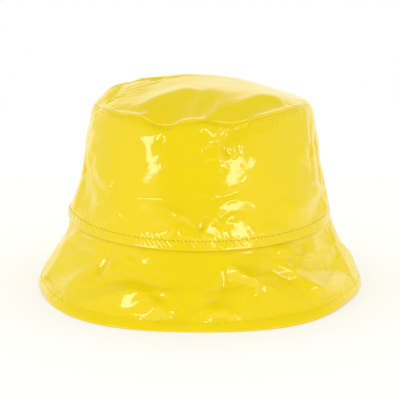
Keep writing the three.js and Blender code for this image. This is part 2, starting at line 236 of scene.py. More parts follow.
# The creases of the front, each with its angle and way up, or x and y for the top, its half length
# and half breadth, its turn from the level, how far it stands out, its tilt across, its bend, and
# the power of its ridge, which is sharp at 1.2 and round at 2.
SIDE_CREASES = (
    (-83.2, 15.8, 2.5, 8.89, 2, 0.86, 1.12, 0.12, 2),
    (-80.5, 17.3, 11.9, 7.43, -39, -0.41, 0.2, 1.2, 1.2),
    (-80.8, 76.9, 15.4, 4.47, -79, -0.09, -0.96, 0.94, 2),
    (-76.9, 10.6, 9.3, 1.9, 2, 0.13, -0.45, 0.38, 2), (-69.7, 14.6, 15.8, 6.3, 13, 0.12, 0.75, -0.21, 2),
    (-77.6, 16.3, 8.9, 6.98, -37, 0.86, -0.66, 1.17, 1.6),
    (-75.7, 17.6, 6.4, 3.65, -46, 0.15, -0.1, 1.2, 1.3),
    (-77.4, 18.5, 16.7, 4.07, 89, 0.78, -0.33, -1.2, 1.2),
    (-77.3, 27.7, 22.7, 3.1, 51, 0.44, -0.28, 0.09, 1.2), (-69.8, 28.1, 6, 10.61, 8, 0.8, 1.54, -0.25, 2),
    (-73.2, 40, 6.5, 2.4, 26, -0.49, -0.29, -1.15, 1.5),
    (-75.1, 42.4, 14.1, 2.89, -76, -0.95, -0.04, 1.06, 1.4),
    (-76.4, 53.2, 11, 9.01, 21, 0.26, -0.72, -0.98, 2),
    (-69.9, 57.7, 11.6, 1.5, 6, 0.22, 0.23, 0.13, 1.8),
    (-67.2, 58, 5.5, 10.99, -8, 0.84, -1.39, 0.11, 1.2),
    (-74.1, 69.9, 5.5, 4.04, -36, -0.38, 0.93, 0.67, 2),
    (-71.8, 73.3, 14.7, 4.42, 73, 0.73, 0.6, 1.2, 1.4),
    (-71.3, 79.7, 8.5, 2.49, 22, -0.15, 0.62, 0.29, 2),
    (-63.5, 21.7, 17.8, 9.9, 40, -1.15, 0.16, 0.93, 2),
    (-63.6, 27.5, 25.4, 8.88, -47, -0.73, 1.24, 0.39, 1.8),
    (-65.2, 41.8, 5.5, 5.44, 73, -0.06, 1.6, -0.33, 1.3),
    (-60.6, 61.3, 7.9, 10.88, 48, -0.34, 1.6, -0.24, 2),
    (-44.8, 14.6, 16.4, 6.96, 20, 0.84, 1.31, -0.21, 1.4),
    (-50.9, 24.3, 9.6, 4.5, 36, 0.07, 1.44, 0.46, 1.9), (-46.5, 36.7, 5.5, 6.86, 27, 0.04, 1.55, 0.71, 2),
    (-48.9, 36.9, 22.8, 4.59, -30, 1.5, -0.01, -1.06, 2),
    (-42, 56.3, 11.9, 11, -1, -0.84, -0.85, -0.5, 1.2),
    (-52.1, 78.8, 22.1, 6.93, 19, -0.67, -0.05, -0.27, 2),
    (-40.6, 20.8, 5.5, 5, -64, 0.88, -0.61, 0.03, 1.4), (-34, 80.6, 5.5, 4.25, 4, -1.03, 0.45, 1.2, 1.4),
    (-21.9, 10.6, 5.8, 1.5, 8, -0.03, 0.06, -0.38, 1.9),
    (-21.1, 15.1, 8.1, 9.59, 59, -0.06, -0.38, 0.34, 1.9),
    (-27.3, 32.8, 19.8, 1.88, 10, -0.33, -0.09, -1.2, 1.2),
    (-30, 35.1, 8.1, 4.27, 25, -0.15, 0.11, -0.01, 1.2),
    (-24.1, 37.4, 6, 4.3, -57, -0.15, -0.02, -0.75, 1.2),
    (-21.3, 38, 15.5, 2.74, 7, -0.06, 0.03, 0.57, 2), (-26.5, 43.7, 26, 2.63, -10, 0.06, 0.01, 0.7, 1.4),
    (-24.9, 49.3, 13.4, 3.43, -89, -0.01, -0.06, 1.08, 1.2),
    (-20.9, 53.6, 10.6, 1.65, 76, -0.23, 0.16, -0.22, 1.3),
    (-27.6, 55.4, 6.6, 4.92, -69, -0.2, 0.26, -0.35, 1.3),
    (-25.3, 58.1, 5.5, 1.62, 38, 0.01, -0.07, -1.12, 1.6),
    (-19.7, 59.7, 14.5, 2.33, 79, 0.58, -0.2, 0.23, 1.2),
    (-26.6, 67.5, 6, 9.26, -81, 0.27, 0.69, 0.16, 1.8),
    (-19, 68.2, 6.6, 2.06, 87, -0.29, 0.35, 0.14, 1.2),
    (-20, 68.6, 18.8, 1.94, 56, -0.08, 0.19, -0.78, 1.6),
    (-28.1, 69.4, 5.5, 9.85, 71, 0.08, 0.43, -0.15, 1.4),
    (-24, 71.3, 5.5, 2.53, 51, 0.07, 0.13, 0.17, 1.6),
    (-18.4, 72.8, 6.9, 2.18, 80, 0.44, -0.27, 0.97, 1.2),
    (-23.2, 77.7, 17.8, 6.98, 0, 1.88, -0.13, -0.46, 2),
    (-29.2, 79.4, 8.8, 4.94, -58, -0.24, 0.22, -1.14, 2),
    (-23.1, 81.7, 25.4, 1.69, 1, 0.57, 0.03, -0.62, 1.8),
    (-22.9, 84.7, 8.4, 2.52, -27, 0.27, -0.52, 0.89, 2),
    (-12.8, 10.8, 8.7, 3.64, 39, 0.15, 1.12, 0.96, 1.6), (-7.3, 19.9, 5.5, 3.95, -4, -1.25, 0, -1.2, 2),
    (-9.6, 25.3, 13.7, 2.85, -23, 1.14, -0.01, -0.8, 1.6),
    (-8.4, 26.3, 21.1, 9.13, 25, 1.14, 0.24, 0.41, 1.9),
    (-7.1, 60.8, 9.1, 4.09, 22, -0.48, 0.85, -0.09, 1.4),
    (-12.9, 70.8, 9.6, 11, -23, -0.58, -1.59, 0.14, 1.8),
    (-18, 77, 8.5, 2.05, 56, -0.54, 0.06, -1.12, 1.2), (-1.3, 4.5, 26, 5.58, 88, -0.4, -0.76, -0.21, 1.8),
    (-5.7, 10.4, 15.3, 1.5, -3, 0.13, 0.04, -1.06, 1.2),
    (2.5, 11, 8.6, 3.12, -36, 0.57, -0.36, -0.88, 1.7),
    (0.8, 13.7, 13.4, 1.99, 56, 0.07, -0.65, -0.61, 2), (1, 14.1, 6.9, 2.56, -55, -0.52, 0.3, -0.47, 1.2),
    (-0.2, 14.9, 12, 1.56, -18, -0.05, 0.05, 0.32, 1.3), (-0.5, 15, 5.6, 4.24, 22, -1.04, 0.12, 0.5, 1.6),
    (0.4, 15.3, 10.6, 1.76, 67, -0.35, 0.18, 1.01, 2), (2.8, 15.5, 7.8, 3.11, 50, 1.03, 0.17, 0.12, 2),
    (1.6, 15.6, 13, 2.2, -87, 0.02, 0.45, 0.49, 1.7), (2.7, 16.1, 23.5, 1.76, 6, -0.02, 0.24, -0.32, 1.4),
    (4.1, 16.5, 9.3, 1.5, 6, 0, -0.08, 0.45, 2), (1.6, 16.6, 11.2, 1.5, 79, -0.01, -0.49, -0.28, 2),
    (3.8, 17.4, 6.3, 1.5, 49, -0.3, 0.27, -1.03, 1.3),
    (-3.5, 18.3, 11, 3.89, -37, 0.22, -0.13, -0.13, 1.6), (1, 18.5, 9.2, 1.5, 86, -0.5, 0, 0.78, 1.2),
    (5.9, 20, 5.6, 1.69, -46, 0.09, 0.44, 0.11, 1.7),
    (0.7, 20.6, 9.3, 5.58, 29, -0.21, -0.17, -0.64, 1.2),
    (5.6, 21.2, 5.7, 2.68, 24, 0.43, 0.32, 0.11, 1.4), (-4.7, 22.5, 6, 3.69, 84, 0.41, 0.51, -0.81, 1.2),
    (1, 31.1, 8.2, 8.63, 11, 0.38, 0.26, 0.27, 1.3), (4, 61.9, 7.1, 2.91, -5, 0.25, 0.56, -1.2, 1.8),
    (-3.5, 63.9, 6.1, 5.49, -67, -0.73, 0.11, -1.13, 1.9),
    (-0.6, 68.3, 5.5, 1.77, -69, 0.3, -0.26, 0.97, 2),
    (5.1, 72.9, 16.9, 2.02, 3, -0.23, -0.12, -0.16, 1.2),
    (5.6, 73.8, 13.2, 1.54, -32, -0.13, -0.12, -0.94, 2),
    (-1.7, 74, 11.5, 6.64, 55, 0, -0.37, -1.16, 1.6), (1.2, 85.9, 5.5, 6.48, -41, 2.1, -0.02, 0.28, 1.9),
    (0.3, 86, 12, 1.5, -84, 0.36, 0.11, -1.2, 2), (10.1, 9.5, 5.5, 1.51, -79, -0.05, -0.08, -0.57, 1.6),
    (14.2, 11.3, 13.5, 1.86, -87, 0.07, -0.09, 0.24, 1.9), (6.5, 14.4, 7.9, 2.35, -42, 0, -0.11, 1.13, 2),
    (8.2, 15.3, 5.9, 1.5, -4, 0.09, 0, -0.04, 2), (15.4, 16, 6, 2.38, -61, 0.05, -0.09, 0.09, 1.2),
    (11.6, 18.2, 15.8, 5.44, 4, 1.34, 0.21, -0.59, 1.8),
    (11.1, 22.8, 6.2, 1.99, 45, -0.01, -0.68, -1.2, 2),
    (7.1, 23, 6.3, 1.91, -35, 0.13, -0.47, -0.31, 1.5),
    (12.1, 23.7, 7.3, 5.19, 32, 0.02, -0.08, 1.09, 1.9),
    (12.2, 23.9, 5.8, 2.09, 28, 0.27, -0.45, -1.05, 1.9),
    (7.6, 24.7, 9.4, 1.8, -63, -0.39, -0.18, 0.19, 1.8),
    (7.7, 29.2, 7.4, 3.31, 89, 1.13, -0.02, 1.2, 1.2),
    (12.9, 30.6, 6.7, 6.02, 27, 0.01, -0.05, 1.18, 1.7),
    (10, 32.4, 13.3, 4.25, 27, 0.99, -0.49, -1.1, 1.2), (15, 39.3, 19.2, 2.11, 21, -0.22, 0.26, 0.45, 2),
    (11.9, 44.7, 5.5, 4.94, 68, 0, -0.3, -0.08, 1.8),
    (17.2, 58.6, 13.4, 9.25, 51, -0.42, 0.92, 0.81, 1.6),
    (13.3, 58.7, 6.1, 3.71, -52, -0.45, -0.18, -1, 1.6),
    (15.6, 61.1, 7.3, 2.79, 64, -0.11, -0.04, -0.78, 2),
    (11.6, 64.2, 5.5, 4.75, -34, -0.02, -1.02, 0.95, 1.2),
    (7.9, 64.2, 8, 2.4, -63, 0.39, -0.23, -0.68, 1.4), (13.1, 64.4, 5.5, 1.73, 38, 0.14, -0.31, -0.27, 2),
    (6.5, 66.1, 5.6, 4.54, -79, 1.06, 0.55, 0.91, 1.7),
    (14.5, 66.5, 6.3, 5.43, -68, 1.07, 1.38, 0.32, 1.6),
    (10.1, 68.3, 5.5, 2.31, -51, -0.19, -0.55, 0.18, 2), (14.9, 70, 5.5, 4.33, -71, 1.37, 0.01, 0.15, 2),
    (9.9, 71.4, 7, 2.81, -43, 0.88, 0.01, 0.45, 1.7), (15.7, 72.7, 5.5, 4.69, 24, 1.74, -0.02, -0.83, 2),
    (16.5, 77.4, 10.2, 1.89, -57, -0.08, 0.45, -0.84, 1.8),
    (6.4, 80.1, 8.1, 8.08, 64, 0.03, 1.6, -0.92, 1.9),
    (11.6, 85.9, 8.1, 3.89, -18, 0.32, -0.85, -1.2, 1.3),
    (18.1, 19.6, 12.4, 1.5, -31, 0.25, 0.04, -0.48, 1.2),
    (18.4, 20.5, 8.1, 1.5, -9, 0.15, 0.1, 1.07, 1.3), (20.2, 25.2, 5.5, 5.09, 56, -0.1, 0.19, -0.16, 1.7),
    (23.2, 26, 7.1, 3.72, 2, 0.21, 0.07, 0.16, 1.6), (25.8, 28.2, 8.4, 5.44, -67, 0.2, 0.37, -1.19, 1.8),
    (26.7, 45, 7.4, 9.93, -82, 0.63, 0.51, 0.72, 1.5), (29.5, 47.2, 8.6, 3.54, -86, 0.38, 0.2, 0.2, 1.3),
    (25.9, 55.6, 25.6, 1.75, 52, 0.2, 0.05, 1.2, 1.2),
    (25.8, 61.1, 9.3, 1.74, -32, 0.04, -0.02, 0.84, 1.6),
    (19.4, 61.1, 6.9, 4.18, 31, -0.15, -0.3, 1.2, 2),
    (21.9, 64.5, 5.5, 3.28, -16, -0.11, -0.19, -0.41, 2),
    (19.7, 69, 9.5, 3.21, -87, 0.08, 0.78, -0.68, 1.6),
    (19.5, 69.4, 7.4, 3.94, -66, 0.91, -0.37, -0.99, 1.2),
    (21.7, 80.7, 18.1, 5.77, 3, -1.63, -0.31, -0.05, 1.5),
    (21.7, 82, 10.8, 3.89, 39, 0.02, -0.8, -0.83, 2),
    (31.9, 10.6, 10.2, 4.76, 6, 1.22, -0.07, -0.34, 1.8),
    (38.8, 27.9, 11.6, 2.09, 39, -0.27, -0.36, 0.04, 1.2),
    (32.8, 76.9, 8.8, 2.83, 12, 0.13, -0.75, 0.72, 1.6),
    (48.2, 15.1, 16.6, 9.08, -13, 1.89, 1.23, 0.56, 2), (52, 16.1, 23.2, 8.84, -7, 0.05, 1.6, 0.41, 1.5),
    (48.1, 16.1, 7.2, 2.81, -7, 0.11, -0.74, -0.15, 2),
    (45.8, 21, 6.7, 8.49, -82, 2.05, 0.35, -0.51, 1.4),
    (50.4, 70.9, 12.7, 7.78, -70, 0.06, -1.54, -0.6, 1.8),
    (48, 72.3, 21.8, 11, -65, -2.2, 1.37, -1.19, 1.3),
    (64.7, 22.6, 18.1, 2.13, -3, 0.26, 0.42, -0.14, 1.9),
    (61.7, 42.6, 17.6, 9.82, -60, -0.13, 0.89, -0.62, 2),
    (57.5, 52.3, 9.8, 5.01, -30, 0.04, 1.55, 0.08, 2), (65, 60.3, 14.3, 1.5, 74, 0.35, 0.02, -0.66, 1.2),
    (58.1, 61.4, 18.5, 6.53, 28, -0.47, -0.58, -1.2, 1.8),
    (57.2, 83.2, 25.8, 11, -41, -1.45, 1.6, -0.75, 1.3),
    (68.8, 8.9, 13.5, 1.95, -6, -0.31, -0.28, -0.94, 1.8),
    (75.8, 11.9, 5.5, 4.87, 61, 0.7, -0.87, 0.66, 2), (66.6, 15.3, 15, 5.4, 13, -1.42, 0.07, 0.4, 1.9),
    (77.2, 27.3, 14.4, 4.99, -18, 0.04, -1.06, -0.82, 2),
    (74.3, 27.3, 8.8, 3.51, -12, 0.19, -0.45, 0.54, 1.2),
    (70.2, 32.7, 18.1, 2.76, -1, 0.25, 0.59, -0.08, 1.4),
    (72.9, 33.5, 5.8, 1.63, 79, -0.2, 0.3, -0.06, 1.9),
    (76.6, 38.2, 13.1, 2.49, 90, -0.78, 0.06, -0.24, 2),
    (75.8, 51.3, 7.1, 3.66, 54, -0.55, 0.71, 1.16, 1.9),
    (73.6, 51.7, 11.1, 1.51, -10, -0.01, 0.5, 0.24, 2), (69.3, 53.9, 6.3, 2.23, 74, 0.19, 0.5, -1.04, 2),
    (71.3, 54, 19.2, 6.24, 75, 1.28, 0.35, -0.32, 2), (67.6, 54.4, 9.2, 2.93, 78, -0.01, -0.96, -0.65, 2),
    (69.7, 54.5, 5.5, 4.04, -30, 0.44, -0.82, 1.2, 2),
    (73.6, 54.9, 5.5, 9.14, -41, -0.79, -1.54, 0.19, 2), (73.6, 54.9, 9, 2.87, 33, -0.22, 0.64, 1.2, 2),
    (73.4, 68.3, 6.4, 2.12, 3, 0.3, 0.35, 0.84, 2), (67.3, 70.3, 21.6, 10.66, -6, 0.28, -1.31, -0.14, 2),
    (69.2, 71.7, 5.5, 4.45, 34, 0.25, 0.49, -1.07, 1.8),
    (69, 77.7, 15.3, 7.17, -40, -0.16, 1.23, 0.43, 2), (79, 7, 13.3, 2.61, 42, -0.32, 0.22, -0.53, 1.2),
    (81.2, 10.6, 4.8, 5.08, -42, 1.17, 0, 0.3, 1.2), (78.1, 11.2, 3.1, 3.83, -69, 0.05, -0.86, 1.2, 1.2),
    (81.3, 27.3, 3.2, 5.12, -4, -0.74, 0.05, -0.94, 1.5),
    (81.2, 50.5, 15.5, 6.54, 86, -0.82, -0.67, 0.3, 1.4),
    (79, 53.2, 10.3, 3.44, 89, 0.56, -0.23, 0.1, 1.2),
)
BRIM_CREASES = (
    (-78.6, 5, 5.5, 2.21, 43, -0.66, 0.08, -1.2, 2), (-84.7, 8.4, 2.5, 10.64, 11, -0.77, -0.56, 1.09, 2),
    (-87.8, 12, 7.7, 6.13, -53, 0.23, 0.56, 0.27, 1.8),
    (-86.4, 12.5, 12.2, 5.5, -65, 0.67, 0.02, 0.83, 1.3),
    (-83.2, 12.5, 9.8, 6.33, -65, 0.66, 0.11, 1.2, 1.2), (-83.4, 25, 2.5, 11, -5, 0.77, 0.56, 0.56, 1.2),
    (-78.5, 37.2, 17.5, 3.81, 53, 0.41, -0.01, -1.2, 1.7),
    (-78.3, 39.3, 10, 7.69, 12, -0.29, -0.56, 0.72, 2), (-76, 6.7, 6.2, 2.53, -5, -0.1, 0.7, 0.21, 2),
    (-77.1, 7.9, 8.8, 4.26, -84, -0.4, 0.51, -0.1, 1.2), (-78, 9.6, 5.5, 3.32, 88, 1.04, 0.06, 0.74, 1.3),
    (-76, 10.4, 11.7, 2.28, -3, 0.2, -0.55, 0.26, 2), (-77.3, 10.6, 13.9, 2.2, -1, 0.03, -0.71, 0.45, 2),
    (-70.3, 14.8, 10.8, 11, 60, 0.54, -0.25, -0.87, 2),
    (-73.4, 15.8, 25.9, 1.9, 5, 0.24, -0.25, 1.05, 1.9),
    (-76.8, 16.7, 14.7, 3.53, 90, 0.9, -0.17, -0.28, 1.4),
    (-77.8, 21.4, 8.7, 11, 37, 0.15, 0.12, -1.02, 1.8),
    (-72.3, 36.5, 6.9, 9.88, -66, -0.22, -0.77, -0.23, 1.5),
    (-77.4, 39.3, 15.7, 3.5, 57, 0.35, -0.75, -1.2, 1.3),
    (-72.2, 42.4, 5.9, 9.28, -78, 0.4, -0.72, 0.97, 2),
    (-77.9, 43.2, 5.5, 4.13, 66, -0.67, 0.6, -0.26, 1.5),
    (-75.1, 44.1, 10.8, 3.02, 46, 0.69, -0.26, -0.87, 1.7),
    (-76.1, 44.3, 8.8, 3.27, 60, 0.09, -0.28, 0.83, 2),
    (-62.9, 9.6, 22.5, 6.52, -4, -0.83, -1.36, 0.73, 1.4),
    (-59, 18.7, 5.5, 7.77, -56, 0.17, 0.46, 0.87, 1.9),
    (-62, 31.9, 20.6, 10.41, 26, -1.83, -0.28, -0.83, 2),
    (-65.8, 39.1, 21.1, 11, -88, 0.23, 0.04, 0.53, 2), (-63.8, 49.3, 7.4, 11, -61, -0.99, -1.52, 1.2, 2),
    (-45.3, 24.5, 24, 8.57, 27, -1.51, 1.6, -0.07, 2), (-44.1, 30.6, 5.5, 2.96, 1, 0.7, 0.21, -0.67, 2),
    (-45.3, 32.5, 5.5, 7.36, 84, 0.09, 1.6, 0.42, 2), (-45.3, 36.9, 5.7, 4.68, 66, 0.54, 1.01, 0.42, 2),
    (-42.9, 39.8, 18.7, 2.75, 63, -1.22, -0.01, 0.83, 1.2),
    (-48.6, 41.2, 5.5, 6.06, -58, -0.5, 0.6, -0.72, 1.3),
    (-38.1, 5.4, 25.7, 10.8, 5, -2.14, -1.6, -0.32, 2),
    (-31.4, 10.6, 5.8, 3.12, -6, 0.43, -0.54, -0.05, 2),
    (-39.2, 11, 5.5, 7.31, -53, 0.93, 0.59, -1.2, 1.7),
    (-33.1, 28.5, 15.2, 2.51, 18, -0.12, -0.74, -1.01, 2),
    (-34.2, 35.6, 11.3, 7.72, -7, 0.91, 0.8, -0.21, 1.9),
    (-38.9, 35.6, 5.5, 5.42, 30, 1.23, 0.74, 0.47, 1.3),
    (-41.7, 44.7, 7.9, 3.15, 23, 0.38, 0.08, -1.11, 2),
    (-31.4, 47.7, 7.7, 3.08, -3, -0.12, -0.88, -0.73, 1.4),
    (-21.5, 5.8, 6.2, 3.39, -65, -0.55, 0.37, 0.27, 1.8),
    (-25, 16.4, 24.4, 2.17, 64, 0.11, 0.1, -0.33, 1.2),
    (-28.8, 18.7, 14.2, 4.89, 50, 0.73, 0.19, 0.76, 2), (-27.3, 24.6, 24.8, 4.71, 18, 2.1, 0, -1.2, 2),
    (-25, 25.4, 16.8, 2.03, 14, 0.17, -0.48, -1, 2), (-18.7, 26.9, 14, 2.18, 22, 0.21, -0.47, 1.11, 1.9),
    (-22.3, 27, 12, 9.07, -21, 1.42, -1.59, -0.41, 1.9), (-23.2, 28.1, 7, 3.75, 1, 0.08, -1.06, -0.52, 2),
    (-18.5, 29.1, 5.5, 10.71, -90, -2.09, 0.65, -0.83, 1.7),
    (-21.3, 32.7, 11.6, 1.99, -6, 0.23, 0.43, 0.58, 1.6),
    (-24.7, 46.3, 9.9, 4.43, 80, 0.66, -0.54, 1.16, 1.2),
    (-28.7, 46.7, 5.6, 2.22, -5, -0.21, -0.49, 0.54, 1.5),
    (-14.7, 9.3, 12.9, 5.66, 19, -0.17, 1.6, -0.65, 1.6),
    (-10.6, 11.3, 5.5, 5.26, -42, 0.09, -0.44, -0.57, 2),
    (-16.3, 13.6, 6.6, 5.33, 67, 0.8, -0.96, 1.2, 1.4),
    (-15.5, 14.9, 8.8, 2.09, 65, 0.65, 0.07, 0.63, 1.5),
    (-12, 16.5, 11.8, 1.8, -27, -0.02, -0.54, 0.67, 1.4),
    (-16.5, 17.4, 5.8, 6.85, 89, 1.39, -0.83, 1.06, 1.9),
    (-13.6, 17.9, 5.5, 2.41, 37, 0.56, 0.2, 0.62, 2),
    (-12.4, 21.2, 5.5, 5.87, 41, -1.24, -0.76, 0.87, 1.8),
    (-14.7, 24, 5.5, 3.5, 51, -0.64, -0.06, 0.33, 2), (-14, 24.4, 8.9, 2.66, -63, -0.04, 0.55, 0.26, 2),
    (-12.8, 24.7, 6.1, 9.25, 32, 1.67, -1.23, -0.99, 2),
    (-17.5, 25.9, 21.3, 1.5, 5, 0.07, -0.41, 1.06, 1.9),
    (-14.1, 26.3, 6.7, 2.77, -80, -0.68, -0.05, 0.16, 1.9), (-13.2, 27, 5.5, 3.22, 48, 1, 0.02, 0, 1.2),
    (-8.4, 29.7, 6, 6.44, -35, 0.42, -1.44, -1.2, 1.4), (-14.9, 37, 5.7, 9.15, -56, 0.48, 1.19, -0.55, 2),
    (2.8, 6.6, 5.5, 8.29, -74, -0.37, -1, 0.6, 1.9), (-4.3, 9.6, 6.7, 9.18, -77, -1.37, 1.6, 1.13, 1.2),
    (2.6, 12.5, 18.1, 3.72, -4, -0.14, 0.65, -1.08, 2), (1.4, 13, 11, 3.23, 82, 1, -0.04, 1.1, 1.2),
    (3, 17.2, 14.1, 3.91, 6, -0.5, -0.8, 0.46, 1.9), (5.5, 18.7, 16.2, 6.09, -48, 0.61, -1.24, 1.04, 1.4),
    (3.4, 18.8, 10.8, 5.58, -35, 0.51, -1.35, 0.52, 1.5),
    (1.2, 24, 6.8, 4.8, -76, 1.46, 0.05, -0.41, 1.8), (4.2, 33.6, 5.7, 2.12, 33, 0.66, -0.01, -0.33, 2),
    (2.6, 38.2, 12.6, 2.7, -75, 0, -0.62, -1.17, 2), (8.4, 15.1, 7.9, 3.58, -13, 1.24, 0, -1.1, 1.8),
    (7.2, 19.6, 10, 5.06, 86, -0.74, -0.88, -0.74, 1.5),
    (16.6, 27.7, 25.8, 8.14, 49, 1.86, -0.68, -0.95, 1.2),
    (18, 28.3, 17.4, 1.72, 60, 0.02, 0.5, 0.17, 1.8),
    (14.5, 28.8, 19.6, 6.02, 65, 0.87, -0.88, -1.11, 1.5),
    (9.3, 29.8, 11.9, 1.5, 8, -0.44, -0.03, -0.42, 1.2),
    (10.1, 29.9, 6.4, 2.03, -22, -0.37, -0.26, 0.73, 1.6),
    (16, 31.3, 15.1, 4.93, -12, -1.68, 0.11, -1.18, 1.3), (9.8, 33.3, 12, 4.07, 77, -2.09, 0, 0.48, 1.6),
    (15.8, 37.2, 6.6, 8.66, 38, 0.72, 1.12, 0.56, 2),
    (17.1, 37.3, 23.9, 3.81, -46, 1.24, 0.13, 0.92, 1.2),
    (16.9, 37.8, 11.1, 4.15, -50, 1.46, 0.05, 0.01, 1.2),
    (9, 42.1, 22.1, 1.95, 48, 0.06, 0.13, 0.15, 1.4), (17.6, 42.2, 5.5, 2.06, 75, -0.02, -0.64, 0.24, 2),
    (14.2, 43, 5.5, 3.47, 65, 0.79, -0.29, -0.21, 2), (24.3, 7.7, 23.2, 6.17, 0, -1.95, -0.08, -0.1, 1.2),
    (20.7, 18.6, 6.3, 5.35, 67, 0.11, 0.37, -0.55, 1.2),
    (22.8, 23.6, 5.5, 2.81, 47, -0.05, -0.24, 1.2, 2),
    (27.4, 24.7, 14.2, 3.34, -60, 0.1, 0.51, -1.19, 1.2),
    (23.3, 26.2, 5.8, 5.56, 79, -0.86, 0.6, 0.7, 1.3), (22.5, 27.3, 5.6, 1.5, 66, -0.2, 0.31, 1.2, 2),
    (22.5, 27.7, 7.1, 1.93, 58, -0.03, 0.63, 0.07, 2),
    (21.3, 28.8, 5.5, 5.76, 38, 2.15, -0.01, -1.2, 1.2),
    (21.7, 29.7, 5.5, 1.5, -62, 0.1, -0.37, -0.74, 1.5), (23.6, 30.5, 7, 1.5, 86, -0.03, -0.27, 0.23, 2),
    (19.9, 31.8, 6.3, 1.74, -54, 0.23, 0.38, -0.4, 1.6), (20, 33.2, 5.9, 5.24, 26, 1.6, -0.03, 0.96, 1.2),
    (19.1, 34.1, 10.3, 3.07, -52, 1.08, 0, -0.48, 1.2),
    (18.7, 35.3, 12.4, 1.5, -46, -0.06, -0.45, 1.06, 1.5),
    (26.7, 37.9, 15, 1.5, 11, -0.42, -0.07, 0.69, 1.2),
    (21.6, 51.1, 9.7, 4.43, -2, -0.72, -0.7, -0.33, 2),
    (36.6, 25.5, 13.3, 1.97, -54, -0.01, -0.71, -1.13, 2),
    (41.5, 27, 22.5, 5.33, -49, 2.2, -0.04, 1.2, 1.2), (36.4, 28.7, 26, 7.68, -52, -0.38, 1.6, 1.13, 2),
    (40.2, 31.4, 10.1, 1.9, 21, 0.02, -0.17, -0.74, 2),
    (32, 33.3, 14.9, 2.29, -35, -0.08, -0.85, -1.17, 2),
    (39.5, 35.4, 6.8, 1.6, -45, -0.26, -0.2, 0.76, 1.8),
    (36.9, 36.4, 20.3, 3.12, -31, 0.4, 0.6, -0.98, 1.4),
    (31.1, 36.5, 19.5, 3.35, -2, 0.14, -0.74, -0.43, 2), (32.4, 40.7, 18, 4.54, -33, 1.55, 0, 0.52, 2),
    (43.2, 10.6, 5.5, 9.7, -55, 0.24, 1.53, 0.06, 2),
    (51.3, 13.2, 13.5, 3.43, -24, -0.26, 0.81, -0.11, 1.3),
    (48.4, 13.9, 8.2, 3.19, -37, -0.46, 0.57, 0.65, 1.8),
    (42.3, 16, 12.1, 7.24, -80, 0.08, -0.4, -0.56, 1.7),
    (42.5, 16.3, 20.1, 9.63, -77, -1.04, 1.42, 0.89, 1.9),
    (48.5, 17.7, 7.1, 2.67, -48, 0, -0.84, -0.31, 1.2),
    (44.5, 22.9, 14.2, 2.87, -48, 1.23, 0.01, 0.28, 1.2), (47.4, 35, 6, 2.02, -23, 0.28, 0.35, 0.94, 1.3),
    (44.5, 36.4, 5.5, 2.33, 62, -0.04, -0.72, 0.94, 2),
    (46.2, 40.8, 6.3, 8.61, -84, 2.07, 0.62, -1.1, 1.2),
    (43.5, 40.9, 13.4, 3.06, -36, 0.06, 0.98, -0.42, 2), (45.2, 42.5, 25.9, 3.76, -27, 1.5, 0.01, 1.2, 2),
    (44.9, 43.7, 9.4, 1.56, -32, -0.09, -0.39, -1.2, 1.8),
    (43.2, 46.6, 9.6, 5.09, -20, 0.53, 1.06, 0.14, 1.8),
    (47.7, 51.4, 5.5, 9.29, 58, -1.56, 0.55, 0.48, 1.8), (57.2, 13.7, 21, 5.75, -3, 0.17, 1.6, 0.28, 1.8),
    (55.4, 19.4, 19.7, 6.68, 3, 2.2, 0, -0.14, 2), (57.7, 20.3, 15.8, 2.19, 8, 0.64, 0.06, -0.69, 1.6),
    (61.8, 25.2, 5.5, 2.08, 11, -0.01, 0.66, 0.9, 2),
    (65.7, 25.4, 15.2, 7.24, -28, -2.2, -0.17, -0.22, 1.6),
    (58.3, 29.1, 18.2, 4.98, -23, -1.94, 0.06, -0.19, 2), (62, 29.6, 5.6, 1.9, -77, 0.03, 0.57, -0.43, 2),
    (61.3, 35.1, 10.7, 2.59, -5, -0.02, -0.71, 1.2, 1.2),
    (64.2, 46.1, 5.9, 2.06, -13, 0, 0.63, 0.38, 1.8),
    (60.6, 47.5, 7.4, 11, -75, -0.96, -1.44, -0.13, 1.7),
    (58.4, 48.6, 17.7, 4.24, -7, 0.26, -1.09, -1.08, 2),
    (75.4, 9.2, 9.8, 2.15, -8, 0.51, 0.16, -0.28, 1.8),
    (74.5, 13.4, 6.2, 1.66, -34, 0.03, -0.51, 0.26, 1.8), (70.4, 15, 12.5, 1.66, 8, 0.17, 0.39, 0.37, 2),
    (74.8, 15, 12, 1.82, -3, -0.25, 0.34, 0.27, 2), (71, 18.6, 5.5, 7.32, 77, -0.45, 0.67, -1.2, 2),
    (76.9, 21.8, 22.8, 2.47, 87, 0.96, 0.03, 0.14, 1.6),
    (77.4, 25, 4.7, 3.37, -37, -0.13, -0.12, -0.79, 1.3),
    (72.3, 29.6, 17.2, 1.69, 8, 0.12, -0.44, -0.29, 2),
    (77.2, 33.9, 5.5, 6.64, -22, -0.11, -1.02, -0.85, 1.2),
    (76.8, 40.8, 5.5, 2.53, 52, 0.64, -0.16, 1.2, 1.7),
    (70.6, 42.2, 20.6, 7.97, -87, -0.53, 0.94, 0.32, 1.8),
    (75.9, 44, 10.1, 3.94, 88, 0.56, -0.78, -0.1, 2), (77.4, 45.2, 6.5, 5.09, 25, 0.54, -0.04, 0.51, 1.7),
    (75, 46.2, 5.5, 2.43, -39, 0.27, -0.48, 1.2, 1.7),
    (82.6, 4.9, 19.7, 2.76, 81, -0.09, -0.21, -0.86, 1.3),
    (79.1, 8.2, 15.2, 3.04, 0, 0.35, 0.01, 0.15, 1.8), (85.9, 18.6, 17.8, 5.85, 68, 0.73, 0, 0.36, 1.5),
    (88.7, 19.1, 2.5, 10.35, -14, 0.77, 0.56, -1.2, 1.9),
    (87.4, 22, 14.5, 7.74, 81, 0.32, 0.56, -0.09, 2), (88.2, 22, 2.5, 10.27, -16, 0.1, 0.56, -1.2, 2),
